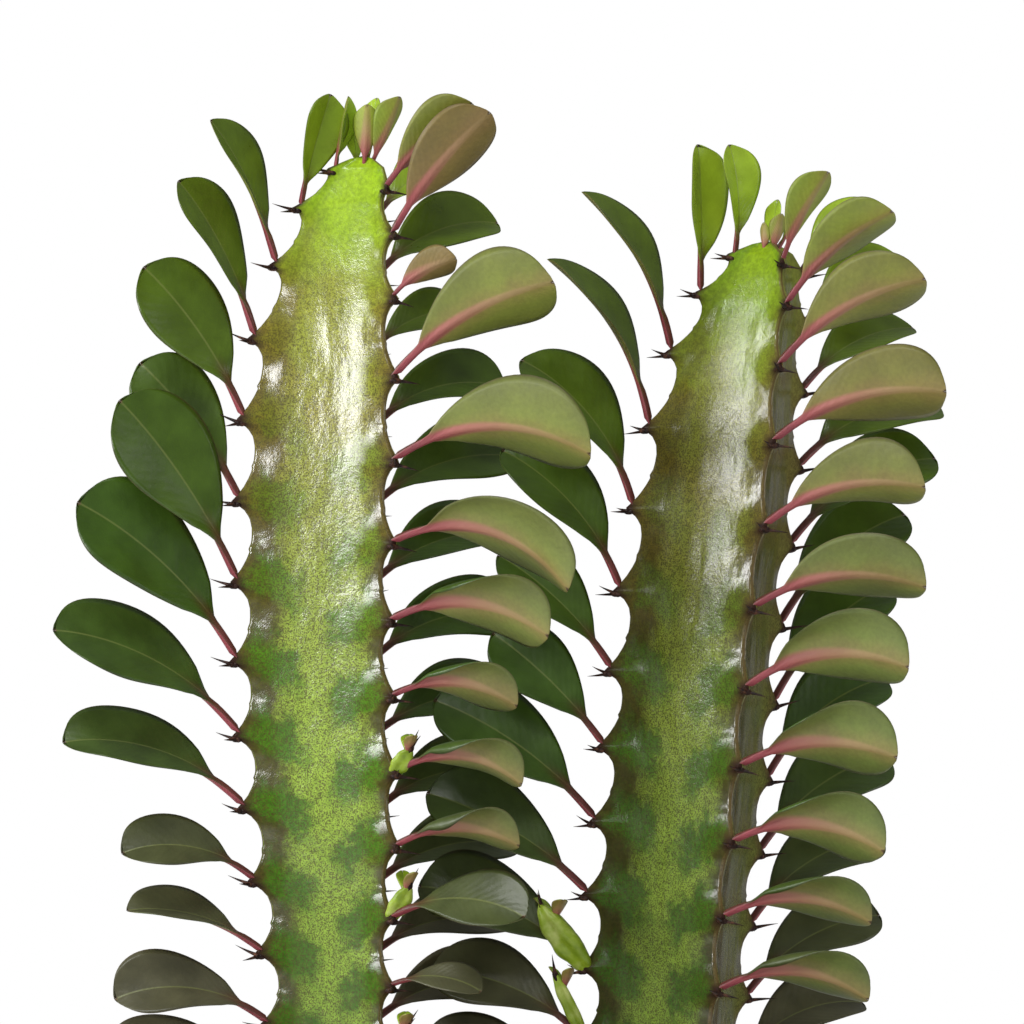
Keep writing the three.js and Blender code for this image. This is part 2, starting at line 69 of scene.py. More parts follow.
def linear(colour):
    """An sRGB hex colour as the linear RGBA that nodes take."""
    parts = [int(colour[i:i + 2], 16) / 255 for i in (1, 3, 5)]
    return [c / 12.92 if c <= 0.04045 else ((c + 0.055) / 1.055) ** 2.4 for c in parts] + [1]


def feed(tree, node, inputs):
    """Gives a node's inputs their values or other nodes' outputs, each by its number or by its
    socket's identifier."""
    for key, value in inputs.items() if isinstance(inputs, dict) else enumerate(inputs):
        socket = node.inputs[key] if isinstance(key, int) else next(
            s for s in node.inputs if s.identifier == key)
        sources = value if isinstance(value, list) else [value]
        if isinstance(sources[0], bpy.types.NodeSocket):
            for source in sources:
                tree.links.new(source, socket)
        else:
            socket.default_value = value


def add(tree, kind, inputs=(), output=0, stops=None, **settings):
    """Adds one node with its settings and inputs, and hands back one of its outputs. stops are a
    colour ramp's."""
    node = tree.nodes.new(kind)
    for setting, value in settings.items():
        setattr(node, setting, value)
    if stops:
        ramp = node.color_ramp.elements
        while len(ramp) < len(stops):
            ramp.new(0.5)
        for element, (place, colour) in zip(ramp, stops):
            element.position = place
            element.color = linear(colour)
    feed(tree, node, inputs)
    return node.outputs[output] if node.outputs else None


def finish_of(name):
    """A new material: itself, its node tree and its shader node."""
    material = bpy.data.materials.new(name)
    material.use_nodes = True
    return material, material.node_tree, material.node_tree.nodes["Principled BSDF"]


def geometry_tree(name, sizes):
    """A new geometry tree with the named inputs: the tree, and its inputs' outputs by name."""
    tree = bpy.data.node_groups.new(name, "GeometryNodeTree")
    tree.interface.new_socket("Geometry", in_out="OUTPUT", socket_type="NodeSocketGeometry")
    for size, kind in {"Geometry": "Geometry", **sizes, "Material": "Material"}.items():
        tree.interface.new_socket(size, in_out="INPUT", socket_type="NodeSocket" + kind)
    entry = tree.nodes.new("NodeGroupInput")
    return tree, {socket.name: socket for socket in entry.outputs if socket.name}


def end_tree(tree, geometry, material):
    """Ends a geometry tree with a plain mesh that has its material."""
    geometry = add(tree, "GeometryNodeRealizeInstances", [geometry])
    geometry = add(tree, "GeometryNodeSetMaterial", {"Geometry": geometry, "Material": material})
    add(tree, "NodeGroupOutput", [geometry])
    return tree


def plain_object(name, points, faces):
    """An object at the origin from points in millimetres."""
    mesh = bpy.data.meshes.new(name)
    mesh.from_pydata((np.asarray(points, dtype=float) * MM).tolist(), [], faces)
    piece = bpy.data.objects.new(name, mesh)
    bpy.context.scene.collection.objects.link(piece)
    return piece


def grow(name, tree, source, values):
    """Runs a geometry tree on a source object and keeps the result as a plain mesh piece."""
    modifier = source.modifiers.new(name, "NODES")
    modifier.node_group = tree
    for item in tree.interface.items_tree:
        if item.in_out == "INPUT" and item.name in values:
            modifier[item.identifier] = values[item.name]
    evaluated = source.evaluated_get(bpy.context.evaluated_depsgraph_get())
    mesh = bpy.data.meshes.new_from_object(evaluated)
    source.modifiers.remove(modifier)
    bpy.data.objects.remove(source)
    mesh.name = name
    piece = bpy.data.objects.new(name, mesh)
    bpy.context.scene.collection.objects.link(piece)
    return piece


def settle(piece, slot, *nodes):
    """Tells the frame what a finished piece rides on, and hides the parts that it stands for. slot,
    what it is made of, is not used.
    """
    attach(piece, "root")
    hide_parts(*nodes)


def rounded(corners, radius, steps=5):
    """An outline of [radius, height] corners with each inner corner rounded off."""
    outline = [np.array(corners[0], dtype=float)]
    for before, corner, after in zip(corners, corners[1:], corners[2:]):
        before, corner, after = (np.array(p, dtype=float) for p in (before, corner, after))
        cut = min(radius, np.linalg.norm(before - corner) / 2, np.linalg.norm(after - corner) / 2)
        start = corner + (before - corner) / np.linalg.norm(before - corner) * cut
        end = corner + (after - corner) / np.linalg.norm(after - corner) * cut
        for step in range(steps + 1):
            t = step / steps
            outline.append(start * (1 - t) ** 2 + corner * 2 * t * (1 - t) + end * t ** 2)
    return outline + [np.array(corners[-1], dtype=float)]


def pot_inside(z):
    """Inside radius of the pot at a height."""
    return np.interp(z, [0, POT_HEIGHT], [BASE_RADIUS - WALL, RIM_RADIUS - WALL - COLLAR_STEP])


def pot_outside(z):
    """Outside radius of the pot below its collar at a height."""
    return np.interp(z, [0, POT_HEIGHT], [BASE_RADIUS, RIM_RADIUS - COLLAR_STEP])


def fired_clay():
    """Unglazed terracotta: matt, warm, speckled with grog, ringed by the trimming tool and
    bleached in soft patches by lime."""
    material, tree, shader = finish_of("unglazed terracotta, pressed and wheel-trimmed")
    place = add(tree, "ShaderNodeTexCoord", output=3)
    patches = add(tree, "ShaderNodeTexNoise", {"Vector": place, "Scale": 22.0, "Detail": 5.0})
    grog = add(tree, "ShaderNodeTexNoise", {"Vector": place, "Scale": 900.0, "Detail": 2.0})
    body = add(tree, "ShaderNodeValToRGB", [patches],
               stops=[(0.3, "#9c5230"), (0.5, "#b5683f"), (0.7, "#c57f55")])
    speck = add(tree, "ShaderNodeValToRGB", [grog], stops=[(0.42, "#8a4527"), (0.6, "#ffffff")])
    mottled = add(tree, "ShaderNodeMix",
                  {"Factor_Float": 0.22, "A_Color": body, "B_Color": speck}, 2,
                  data_type="RGBA", blend_type="MULTIPLY")
    bloom_noise = add(tree, "ShaderNodeTexNoise", {"Vector": place, "Scale": 46.0, "Detail": 8.0})
    bloom = add(tree, "ShaderNodeMapRange", {0: bloom_noise, 1: 0.5, 2: 0.72, 3: 0.0, 4: 0.55})
    colour = add(tree, "ShaderNodeMix",
                 {"Factor_Float": bloom, "A_Color": mottled, "B_Color": linear("#d9bda6")}, 2,
                 data_type="RGBA")
    rough = add(tree, "ShaderNodeMapRange", {0: grog, 1: 0.3, 2: 0.7, 3: 0.78, 4: 0.95})
    # trimming lines about 3.1 mm apart
    rings = add(tree, "ShaderNodeTexWave",
                {"Vector": place, "Scale": 100.0, "Distortion": 1.6, "Detail": 2.0,
                 "Detail Scale": 3.0}, 1, wave_type="BANDS", bands_direction="Z")
    relief = add(tree, MATHS, [rings, 0.35, grog], operation="MULTIPLY_ADD")
    bump = add(tree, "ShaderNodeBump", {"Strength": 0.5, "Distance": 0.35 * MM, "Height": relief})
    feed(tree, shader, {"Base Color": colour, "Roughness": rough, "Normal": bump})
    return material


def pot_tree():
    """The pot is an outline turned round the Z axis, with its drain holes cut through."""
    tree, size = geometry_tree("turned clay pot", {
        "Sides": "Int", "Drain radius": "Float", "Drain circle": "Float", "Drain depth": "Float"})
    corners = add(tree, "GeometryNodeAttributeDomainSize", [size["Geometry"]])
    columns = add(tree, MATHS, [size["Sides"], 1.0])
    wall = add(tree, "GeometryNodeMeshGrid", {2: columns, 3: corners})
    index = add(tree, "GeometryNodeInputIndex")
    corner = add(tree, MATHS, [index, corners], operation="MODULO")
    row = add(tree, MATHS, [index, corners], operation="DIVIDE")
    column = add(tree, MATHS, [row], operation="FLOOR")
    part = add(tree, MATHS, [column, size["Sides"]], operation="DIVIDE")
    angle = add(tree, MATHS, [part, math.tau], operation="MULTIPLY")
    place = add(tree, "GeometryNodeInputPosition")
    outline = add(tree, "GeometryNodeSampleIndex", [size["Geometry"], place, corner],
                  data_type="FLOAT_VECTOR")
    turned = add(tree, "ShaderNodeVectorRotate", {"Vector": outline, "Angle": angle},
                 rotation_type="Z_AXIS")
    wall = add(tree, "GeometryNodeSetPosition", {"Geometry": wall, "Position": turned})
    wall = add(tree, "GeometryNodeMergeByDistance", {"Geometry": wall, "Distance": POT_SEAM * MM})
    holes = add(tree, "GeometryNodeMeshCircle", {0: DRAIN_HOLES, 1: size["Drain circle"]})
    holes = add(tree, "GeometryNodeTransform",
                {"Geometry": holes, "Rotation": (0, 0, math.pi / DRAIN_HOLES)})
    cutter = add(tree, "GeometryNodeMeshCylinder",
                 {0: HOLE_SIDES, 3: size["Drain radius"], 4: size["Drain depth"]})
    cutters = add(tree, "GeometryNodeInstanceOnPoints", {"Points": holes, "Instance": cutter})
    cutters = add(tree, "GeometryNodeRealizeInstances", [cutters])
    pot = add(tree, "GeometryNodeMeshBoolean", {"Mesh 1": wall, "Mesh 2": cutters},
              operation="DIFFERENCE", solver="EXACT")
    pot = add(tree, "GeometryNodeSetShadeSmooth", [pot])
    bend = add(tree, "GeometryNodeInputMeshEdgeAngle")
    sharp = add(tree, "FunctionNodeCompare", [bend, POT_CREASE], operation="GREATER_THAN")
    pot = add(tree, "GeometryNodeSetShadeSmooth", [pot, sharp, False], domain="EDGE")
    return end_tree(tree, pot, size["Material"])


collar_foot = POT_HEIGHT - COLLAR_HEIGHT
wall_end = collar_foot - COLLAR_SLOPE
pot_corners = [
    [0, 0], [BASE_RADIUS, 0], [pot_outside(wall_end), wall_end],
    [pot_outside(collar_foot) + COLLAR_STEP, collar_foot + COLLAR_SLOPE / 2],
    [RIM_RADIUS, POT_HEIGHT], [pot_inside(POT_HEIGHT), POT_HEIGHT],
    [pot_inside(POT_FLOOR), POT_FLOOR], [0, POT_FLOOR],
]
pot_outline = rounded(pot_corners, POT_ROUNDING)
outline_piece = plain_object("pot_outline", [[r, 0, z] for r, z in pot_outline], [])
pot = grow("clay_pot", pot_tree(), outline_piece, {
    "Sides": POT_SIDES,
    "Drain radius": DRAIN_RADIUS * MM,
    "Drain circle": DRAIN_CIRCLE * MM,
    "Drain depth": POT_FLOOR * 4 * MM,  # deep enough to cut right through
    "Material": fired_clay(),
})
settle(pot, "terracotta", "pot")


# ---------------------------------------------------------------- the compost
# A free-draining cactus compost: dark peat and composted bark with pumice and coarse sand. It
# fills the pot to a finger's width below the rim and is loose on top, a little higher in the
# middle, where the stems stand in it.

SOIL_TOP = 138
SOIL_CROWN = 2  # the middle stands this much higher than the edge
SOIL_LUMP = 1.3
SOIL_LUMPS = ((14, 0.6), (5, 0.35), (1.8, 0.2))  # the size and share of each kind of lump
SOIL_RINGS = 70
SOIL_SIDES = 200
SOIL_FOOT = 8
SOIL_FLOOR = POT_FLOOR + 0.3
# The side of the filling: heights, and how far it stands in from the pot's wall at each.
SOIL_SIDE = [[SOIL_FLOOR, 6], [SOIL_FLOOR + 6, 0.4], [60, 0.5], [100, 0.5], [130, 0.5]]
SOIL_EDGE = 0.6
# Each kind of crumb: how many lie on a square metre, their length, their proportions, their
# seed, their colours from low to high and the scale of their grain.
CRUMBS = {
    "bark_crumbs": (42000.0, 3.6, (1.0, 0.5, 0.35), 5, ("#1c110a", "#4a3020", "#7a5a3e"), 700.0),
    "pumice_grit": (9000.0, 2.1, (1.0, 0.85, 0.75), 9, ("#a39c8e", "#cfc9bb", "#ebe7dd"), 1500.0),
}
CRUMB_BAND = 4  # crumbs lie on what is less than this far below the top of the compost


def soil_surface(x, y):
    """Height of the compost at a point: a low crown, with lumps of several sizes."""
    share = min(1.0, math.hypot(x, y) / (pot_inside(SOIL_TOP) - 1))
    lumps = sum(noise.noise(Vector((x / size, y / size, size))) * part
                for size, part in SOIL_LUMPS)
    return SOIL_TOP + SOIL_CROWN * (1 - share ** 2 - share ** 6) + SOIL_LUMP * lumps


def circle(radius, sides):
    """Points round the Z axis: x and y."""
    return [(radius * math.cos(math.tau * i / sides), radius * math.sin(math.tau * i / sides))
            for i in range(sides)]


def lofted(rings, tip):
    """Points and faces of a closed body through rings of points, from a flat foot to a tip."""
    count = len(rings[0])
    points = [point for ring in rings for point in ring] + [tip]
    faces = []
    for r in range(len(rings) - 1):
        for i in range(count):
            j = (i + 1) % count
            faces.append((r * count + i, r * count + j, (r + 1) * count + j, (r + 1) * count + i))
    last = (len(rings) - 1) * count
    faces += [(last + i, last + (i + 1) % count, len(points) - 1) for i in range(count)]
    faces.append(tuple(reversed(range(count))))
    return points, faces


def soil_rings():
    """Rings from the pot's floor to the loose surface, and the surface's middle."""
    side = [(SOIL_FOOT, SOIL_FLOOR)] + [(pot_inside(z) - inset, z) for z, inset in SOIL_SIDE]
    rings = [[(x, y, z) for x, y in circle(r, SOIL_SIDES)] for r, z in side]
    for step in range(SOIL_RINGS):
        r = (pot_inside(SOIL_TOP) - SOIL_EDGE) * (1 - step / SOIL_RINGS)
        rings.append([(x, y, soil_surface(x, y)) for x, y in circle(r, SOIL_SIDES)])
    return rings, (0, 0, soil_surface(0, 0))


def smooth_body(name, rings, tip, material, slot, node):
    """A smooth closed body through rings of points, finished as a piece of its node."""
    body = plain_object(name, *lofted(rings, tip))
    body.data.polygons.foreach_set("use_smooth", [True] * len(body.data.polygons))
    body.data.materials.append(material)
    settle(body, slot, node)
    return body


def peat():
    """Damp peat and bark dust: nearly black brown, crumbly, with no gloss."""
    material, tree, shader = finish_of("peat and bark compost, damp")
    place = add(tree, "ShaderNodeTexCoord", output=3)
    crumbs = add(tree, "ShaderNodeTexNoise", {"Vector": place, "Scale": 420.0, "Detail": 6.0,
                                              "Roughness": 0.7})
    damp = add(tree, "ShaderNodeTexNoise", {"Vector": place, "Scale": 38.0, "Detail": 3.0})
    dark = add(tree, "ShaderNodeValToRGB", [crumbs],
               stops=[(0.35, "#140d08"), (0.52, "#2f2015"), (0.68, "#5a4230")])
    dry = add(tree, "ShaderNodeMapRange", {0: damp, 1: 0.45, 2: 0.7, 3: 0.0, 4: 0.5})
    colour = add(tree, "ShaderNodeMix",
                 {"Factor_Float": dry, "A_Color": dark, "B_Color": linear("#5c4a3a")}, 2,
                 data_type="RGBA")
    bump = add(tree, "ShaderNodeBump", {"Strength": 0.9, "Distance": 0.8 * MM, "Height": crumbs})
    feed(tree, shader, {"Base Color": colour, "Roughness": 0.95, "Specular IOR Level": 0.2,
                        "Normal": bump})
    return material


def crumb_finish(name, colours, grain):
    """The finish of one kind of crumb, with its own tone on each piece."""
    material, tree, shader = finish_of(name)
    place = add(tree, "ShaderNodeTexCoord", output=3)
    tone = add(tree, "ShaderNodeAttribute", output=2, attribute_name="tone")
    grains = add(tree, "ShaderNodeTexNoise", {"Vector": place, "Scale": grain, "Detail": 4.0})
    mixed = add(tree, MATHS, [grains, 0.5, tone], operation="MULTIPLY_ADD")
    colour = add(tree, "ShaderNodeValToRGB", [mixed],
                 stops=list(zip((0.2, 0.7, 1.0), colours)))
    bump = add(tree, "ShaderNodeBump", {"Strength": 0.7, "Distance": 0.3 * MM, "Height": grains})
    feed(tree, shader, {"Base Color": colour, "Roughness": 0.9, "Normal": bump})
    return material


def crumb_tree():
    """Angular crumbs strewn over the top of the compost, each turned and sized on its own."""
    tree, size = geometry_tree("compost crumbs", {
        "Per square metre": "Float", "Crumb size": "Float", "Flatness": "Vector", "Seed": "Int",
        "Lowest": "Float"})
    place = add(tree, "GeometryNodeInputPosition")
    height = add(tree, "ShaderNodeSeparateXYZ", [place], 2)
    on_top = add(tree, "FunctionNodeCompare", [height, size["Lowest"]], operation="GREATER_THAN")
    spots = add(tree, "GeometryNodeDistributePointsOnFaces",
                {0: size["Geometry"], 1: on_top, 4: size["Per square metre"], 6: size["Seed"]})
    tone = add(tree, "FunctionNodeRandomValue", {2: 0.0, 3: 0.5, 8: size["Seed"]}, 1)
    spots = add(tree, "GeometryNodeStoreNamedAttribute", [spots, True, "tone", tone])
    crumb = add(tree, "GeometryNodeMeshIcoSphere", [size["Crumb size"], 2])
    dents = add(tree, "ShaderNodeTexNoise", {"Scale": 420.0, "Detail": 1.0}, 1)
    dents = add(tree, "ShaderNodeVectorMath", [dents, (-0.5, -0.5, -0.5)])
    dents = add(tree, "ShaderNodeVectorMath", {0: dents, "Scale": size["Crumb size"]},
                operation="SCALE")
    crumb = add(tree, "GeometryNodeSetPosition", {"Geometry": crumb, "Offset": dents})
    crumb = add(tree, "GeometryNodeTransform", {"Geometry": crumb, "Scale": size["Flatness"]})
    turn = add(tree, "FunctionNodeRandomValue",
               {0: (-0.5, -0.5, 0), 1: (0.5, 0.5, math.tau), 8: size["Seed"]},
               data_type="FLOAT_VECTOR")
    growth = add(tree, "FunctionNodeRandomValue", {2: 0.35, 3: 1.0, 8: size["Seed"]}, 1)
    crumbs = add(tree, "GeometryNodeInstanceOnPoints",
                 {"Points": spots, "Instance": crumb, "Rotation": turn, "Scale": growth})
    return end_tree(tree, crumbs, size["Material"])


soil = smooth_body("compost_body", *soil_rings(), peat(), "compost", "soil")

strewn = crumb_tree()
for name, (density, length, flatness, seed, colours, grain) in CRUMBS.items():
    ground = bpy.data.objects.new("ground", soil.data)
    bpy.context.scene.collection.objects.link(ground)
    crumbs = grow(name, strewn, ground, {
        "Per square metre": density,
        "Crumb size": length / 2 * MM,
        "Flatness": flatness,
        "Seed": seed,
        "Lowest": (SOIL_TOP - CRUMB_BAND) * MM,
        "Material": crumb_finish(name.replace("_", " "), colours, grain),
    })
    settle(crumbs, "compost", "soil")


# ---------------------------------------------------------------- the stems
# Two upright, three-winged stems of the euphorbia. Each grew as one piece: a thick green core
# drawn out into three thin ribs, whose margins are cut into rounded bays between the beak-like
# tubercles that carry the leaves. The skin is waxed, green and marbled, and browns with age.

# Each stem's centre line and rib reach are keyed by height: height, x, y, reach.
STEMS = {
    "stem_left": {
        "axis": [
            [90, -42, -3, 20], [143, -42, -3, 20], [218, -44.3, -2, 22.8], [238, -44.8, -1, 24.2],
            [262, -45.2, -1, 27.3], [292, -47, 0, 27.6], [319, -47.3, 0, 27.5],
            [356, -46.4, 0, 27.4], [378, -45.6, 0, 26.6], [398, -44.3, 0, 24],
            [417, -41.6, 0, 20], [427, -40.8, 0, 16], [436, -38.7, 0, 9],
            [438.6, -38.1, 0, 3.4],
        ],
        "top": 434.5,
        # each rib's azimuth in degrees from the front, its highest tubercle and its seed
        "ribs": [(-80, 435.4, 21), (40, 430, 22), (160, 422, 23)],
        # how brown each rib's next face is, and the painted shade that darkens the whole stem, 1
        # for none
        "browned": [0, 0.5, 0.2],
        "shade": 1.0,
    },
    "stem_right": {
        "axis": [
            [90, 40, 3, 24], [143, 40, 3, 24], [206, 47.8, 2, 28.6], [238, 49.2, 1, 29.4],
            [257, 51.8, 0, 30], [299, 55.6, 0, 29.4], [320, 57.5, 0, 29.2], [342, 60.8, 0, 29.2],
            [364, 63.5, 0, 27.6], [384, 66, 0, 24.6], [400, 69.5, 0, 21], [407, 70.3, 0, 16.5],
            [413, 70.7, 0, 10.5], [415.6, 70.8, 0, 3.8],
        ],
        "top": 412.5,
        "ribs": [(-101, 412.4, 31), (19, 410, 32), (139, 407, 33)],
        "browned": [0.0, 0.75, 0.3],
        # painted shade: the right stem is darkened to two thirds
        "shade": 0.66,
    },
}
# Distance from one tubercle to the next, against distance below the stem's tip.
SPACING = [[0, 10], [10, 16], [23, 19.5], [43, 22], [90, 21.5], [150, 20], [290, 17]]
SPACING_STRAY = 0.03
PLAIN_TOP = SOIL_TOP + 5  # below this the ribs have no bays
# The places down a bay at which every rib has to stand clear of the compost.
BAY_MARKS = (0, 0.12, 0.38, 0.76)
TIP_HALF_THICKNESS = 0.5  # a rib's margin at a tubercle
BAY_HALF_THICKNESS = 0.65  # and in a bay
BAY_DEPTH = 6.0
FACE_SAG = 2.7  # how far a face between two ribs is hollowed
SAG_POWER = 2.6
FULL_REACH = 22  # a rib this wide has its full bays and hollowed faces
LAST_BAY = [[0, 0], [2, 0.4], [6, 0.5], [400, 0.5]]  # depth by distance below the last tubercle
PATCH_DROP = 10  # how much lower the pattern of a bay stands in the middle of a face
AXIS_SOFTENING = 12  # how far up and down the centre line's corners are rounded
TIP_KEPT = 30  # this far below the tip its keys start to be followed again,
TIP_KEPT_WITHIN = 16  # and this much higher they are followed fully
BURIED_RINGS = [90, 110]
SKIN_START = 130
RING_STEP = 0.8
DOME = 4  # the height of the tip over which its rings stand closer
DOME_RINGS = 12
TIP_RISE = 0.8
FACE_STEPS = 28
FACE_CROWDING = 0.55  # how much a face's columns crowd towards its two ribs
# The columns of a rib's rounded margin: how far round it each lies, and its place across.
MARGIN = ((-45, 0.99), (0, 1), (45, 0.99))
MARGIN_SET_BACK = 0.55
MARGIN_FULLNESS = 1.1
WING_START = 0.45  # share of a half face from which it is drawn to the rib's margin
WING_POWER = 1.45
SWELL = 0.6  # how far a face swells beside each tubercle
SWELL_HEIGHT = 5.0
SWELL_PLACE = 0.84  # share of a half face
SWELL_SHARE = 0.17
# The margin of a bay, from one tubercle down to the next: it is cut back sharply under the
# upper one, has a small scar below its middle and slopes out slowly to the lower one.
BAY = [[0, 0], [0.04, 0.3], [0.1, 0.62], [0.2, 0.88], [0.32, 0.99], [0.42, 1], [0.5, 0.98],
       [0.555, 0.9], [0.575, 0.86], [0.6, 0.93], [0.7, 0.79], [0.82, 0.56], [0.92, 0.27], [1, 0]]


def draw(seed, index):
    """A value from 0 to 1 that depends only on its two whole numbers."""
    wave = math.sin(seed * 12.9898 + index * 78.233) * 43758.5453
    return wave - math.floor(wave)


def jitter(seed, index, amount):
    return (draw(seed, index) * 2 - 1) * amount


def read_keys(keys, place, column=1):
    """Straight-line reading of a keyed list at one place or at an array of them."""
    table = np.array(keys, dtype=float)
    return np.interp(place, table[:, 0], table[:, column])


def outward(azimuth):
    return np.array([math.sin(math.radians(azimuth)), -math.cos(math.radians(azimuth)), 0.0])


def sideways(azimuth):
    return np.array([math.cos(math.radians(azimuth)), math.sin(math.radians(azimuth)), 0.0])


def grown_share(reach):
    """How far a stem is grown where its ribs have this reach, from 0 at its tip to 1."""
    return np.minimum(1.0, reach / FULL_REACH)


def all_tubercles(stem, rib):
    """Heights of a rib's tubercles, from its tip to the compost."""
    top, seed = rib[1:]
    heights = [top]
    while heights[-1] > SOIL_TOP + SPACING[-1][1]:
        wobble = 1 + jitter(seed, len(heights), SPACING_STRAY)
        heights.append(heights[-1] - read_keys(SPACING, stem["top"] - heights[-1]) * wobble)
    return heights


def tubercles(stem, rib):
    """The tubercles that stand clear of the compost on every rib."""
    marks = []
    for other in stem["ribs"]:
        heights = all_tubercles(stem, other)
        marks.append([a + (b - a) * share for a, b in zip(heights, heights[1:])
                      for share in BAY_MARKS])
    clear = sum(1 for row in zip(*marks) if min(row) > PLAIN_TOP + 1)
    return all_tubercles(stem, rib)[:math.ceil(clear / len(BAY_MARKS))]


def hollow_of(stem, rib, heights):
    """Depth of the margin's bays at an array of heights, from 0 at a tubercle to 1."""
    marks = tubercles(stem, rib)
    keys = [(stem["axis"][-1][0], 0)]
    for upper, lower in zip(marks, marks[1:]):
        keys += [(upper + (lower - upper) * share, depth) for share, depth in BAY[:-1]]
    keys += [(marks[-1] - drop, depth) for drop, depth in LAST_BAY]
    return read_keys(keys[::-1], heights)


def running_number(stem, rib, heights):
    """The number of the tubercle at each height, in between for the bays, counted from the top."""
    marks = all_tubercles(stem, rib)
    return np.interp(heights, marks[::-1], np.arange(len(marks))[::-1])


def axis_at(stem, heights):
    heights = np.asarray(heights, dtype=float)
    return np.stack([read_keys(stem["axis"], heights, 1), read_keys(stem["axis"], heights, 2),
                     heights], axis=-1)


def smooth_axis(stem):
    """The keyed centre line with its corners rounded, so that the skin has no creases."""
    keys = np.array(stem["axis"], dtype=float)
    heights = np.arange(keys[0, 0], keys[-1, 0], 1.0)
    window = np.hanning(2 * AXIS_SOFTENING + 1)
    window /= window.sum()
    rows = [heights]
    for column in (1, 2, 3):
        values = np.interp(heights, keys[:, 0], keys[:, column])
        padded = np.pad(values, AXIS_SOFTENING, "edge")
        softened = np.convolve(padded, window, "valid")
        near_tip = np.clip((heights - (keys[-1, 0] - TIP_KEPT)) / TIP_KEPT_WITHIN, 0, 1)
        rows.append(softened * (1 - near_tip) + values * near_tip)
    return np.vstack([np.stack(rows, axis=1), keys[-1]])


def stem_skin(stem):
    """Rings of skin points with what each needs for its colours: its place across a face, its
    distance below the tip and from the nearest tubercle, and its tubercle's running number."""
    axis = smooth_axis(stem)
    dome = stem["axis"][-1][0]
    heights = np.concatenate([BURIED_RINGS, np.arange(SKIN_START, dome - DOME, RING_STEP),
                              np.linspace(dome - DOME, dome, DOME_RINGS)])
    centre = np.stack([read_keys(axis, heights, 1), read_keys(axis, heights, 2), heights], axis=1)
    reach = read_keys(axis, heights, 3)
    grown = grown_share(reach)
    sag = FACE_SAG * grown
    steps = np.linspace(-1, 1, FACE_STEPS + 1)
    crowded = np.sin(steps * math.pi / 2) * FACE_CROWDING + steps * (1 - FACE_CROWDING)
    columns = []
    ribs = stem["ribs"]
    for index, rib in enumerate(ribs):
        pair = (rib, ribs[(index + 1) % len(ribs)])
        turn = (pair[1][0] - rib[0]) % 360
        middle = rib[0] + turn / 2
        hollow = [hollow_of(stem, r, heights) for r in pair]
        gap = [np.abs(heights[:, None] - np.array(tubercles(stem, r))[None, :]).min(axis=1)
               for r in pair]
        half = [TIP_HALF_THICKNESS + (BAY_HALF_THICKNESS - TIP_HALF_THICKNESS) * h for h in hollow]
        brown = stem["browned"][index]
        # the rounded margin of this rib
        for angle, across in MARGIN:
            lean = math.radians(angle)
            out = reach - hollow[0] * BAY_DEPTH * grown \
                + half[0] * (math.cos(lean) - MARGIN_SET_BACK)
            aside = half[0] * math.sin(lean) * MARGIN_FULLNESS
            points = centre + out[:, None] * outward(rib[0]) + aside[:, None] * sideways(rib[0])
            columns.append((points, across, gap[0], running_number(stem, rib, heights), brown))
        # the hollowed face between this rib and the next
        for share in crowded:
            side = 0 if share < 0 else 1
            nearer = pair[side]
            level = reach * math.cos(math.radians(turn / 2)) - sag + sag * abs(share) ** SAG_POWER
            aside = share * reach * math.sin(math.radians(turn / 2))
            pull = max(0.0, (abs(share) - WING_START) / (1 - WING_START)) ** WING_POWER
            shift = -(hollow[side] * BAY_DEPTH * grown)[:, None] * outward(nearer[0]) \
                + (half[side] * (1, -1)[side])[:, None] * sideways(nearer[0])
            swell = SWELL * grown * np.exp(-(gap[side] / SWELL_HEIGHT) ** 2) \
                * math.exp(-((abs(share) - SWELL_PLACE) / SWELL_SHARE) ** 2)
            points = centre + level[:, None] * outward(middle) \
                + aside[:, None] * sideways(middle) + shift * pull \
                + swell[:, None] * outward(middle)
            lowered = heights + PATCH_DROP * (1 - abs(share))
            columns.append((points, share, gap[side], running_number(stem, nearer, lowered), brown))
    rings = np.stack([column[0] for column in columns], axis=1)
    values = {name: np.stack([np.broadcast_to(column[place], heights.shape) for column in columns],
                             axis=1)
              for place, name in enumerate(("across", "near", "rung", "browned"), 1)}
    values["below"] = np.repeat((dome - heights)[:, None], len(columns), axis=1)
    # painted shade: one darkening factor for all the skin of a stem
    values["shade"] = np.full(rings.shape[:2], stem["shade"])
    return rings, values, centre[-1] + np.array([0, 0, TIP_RISE])


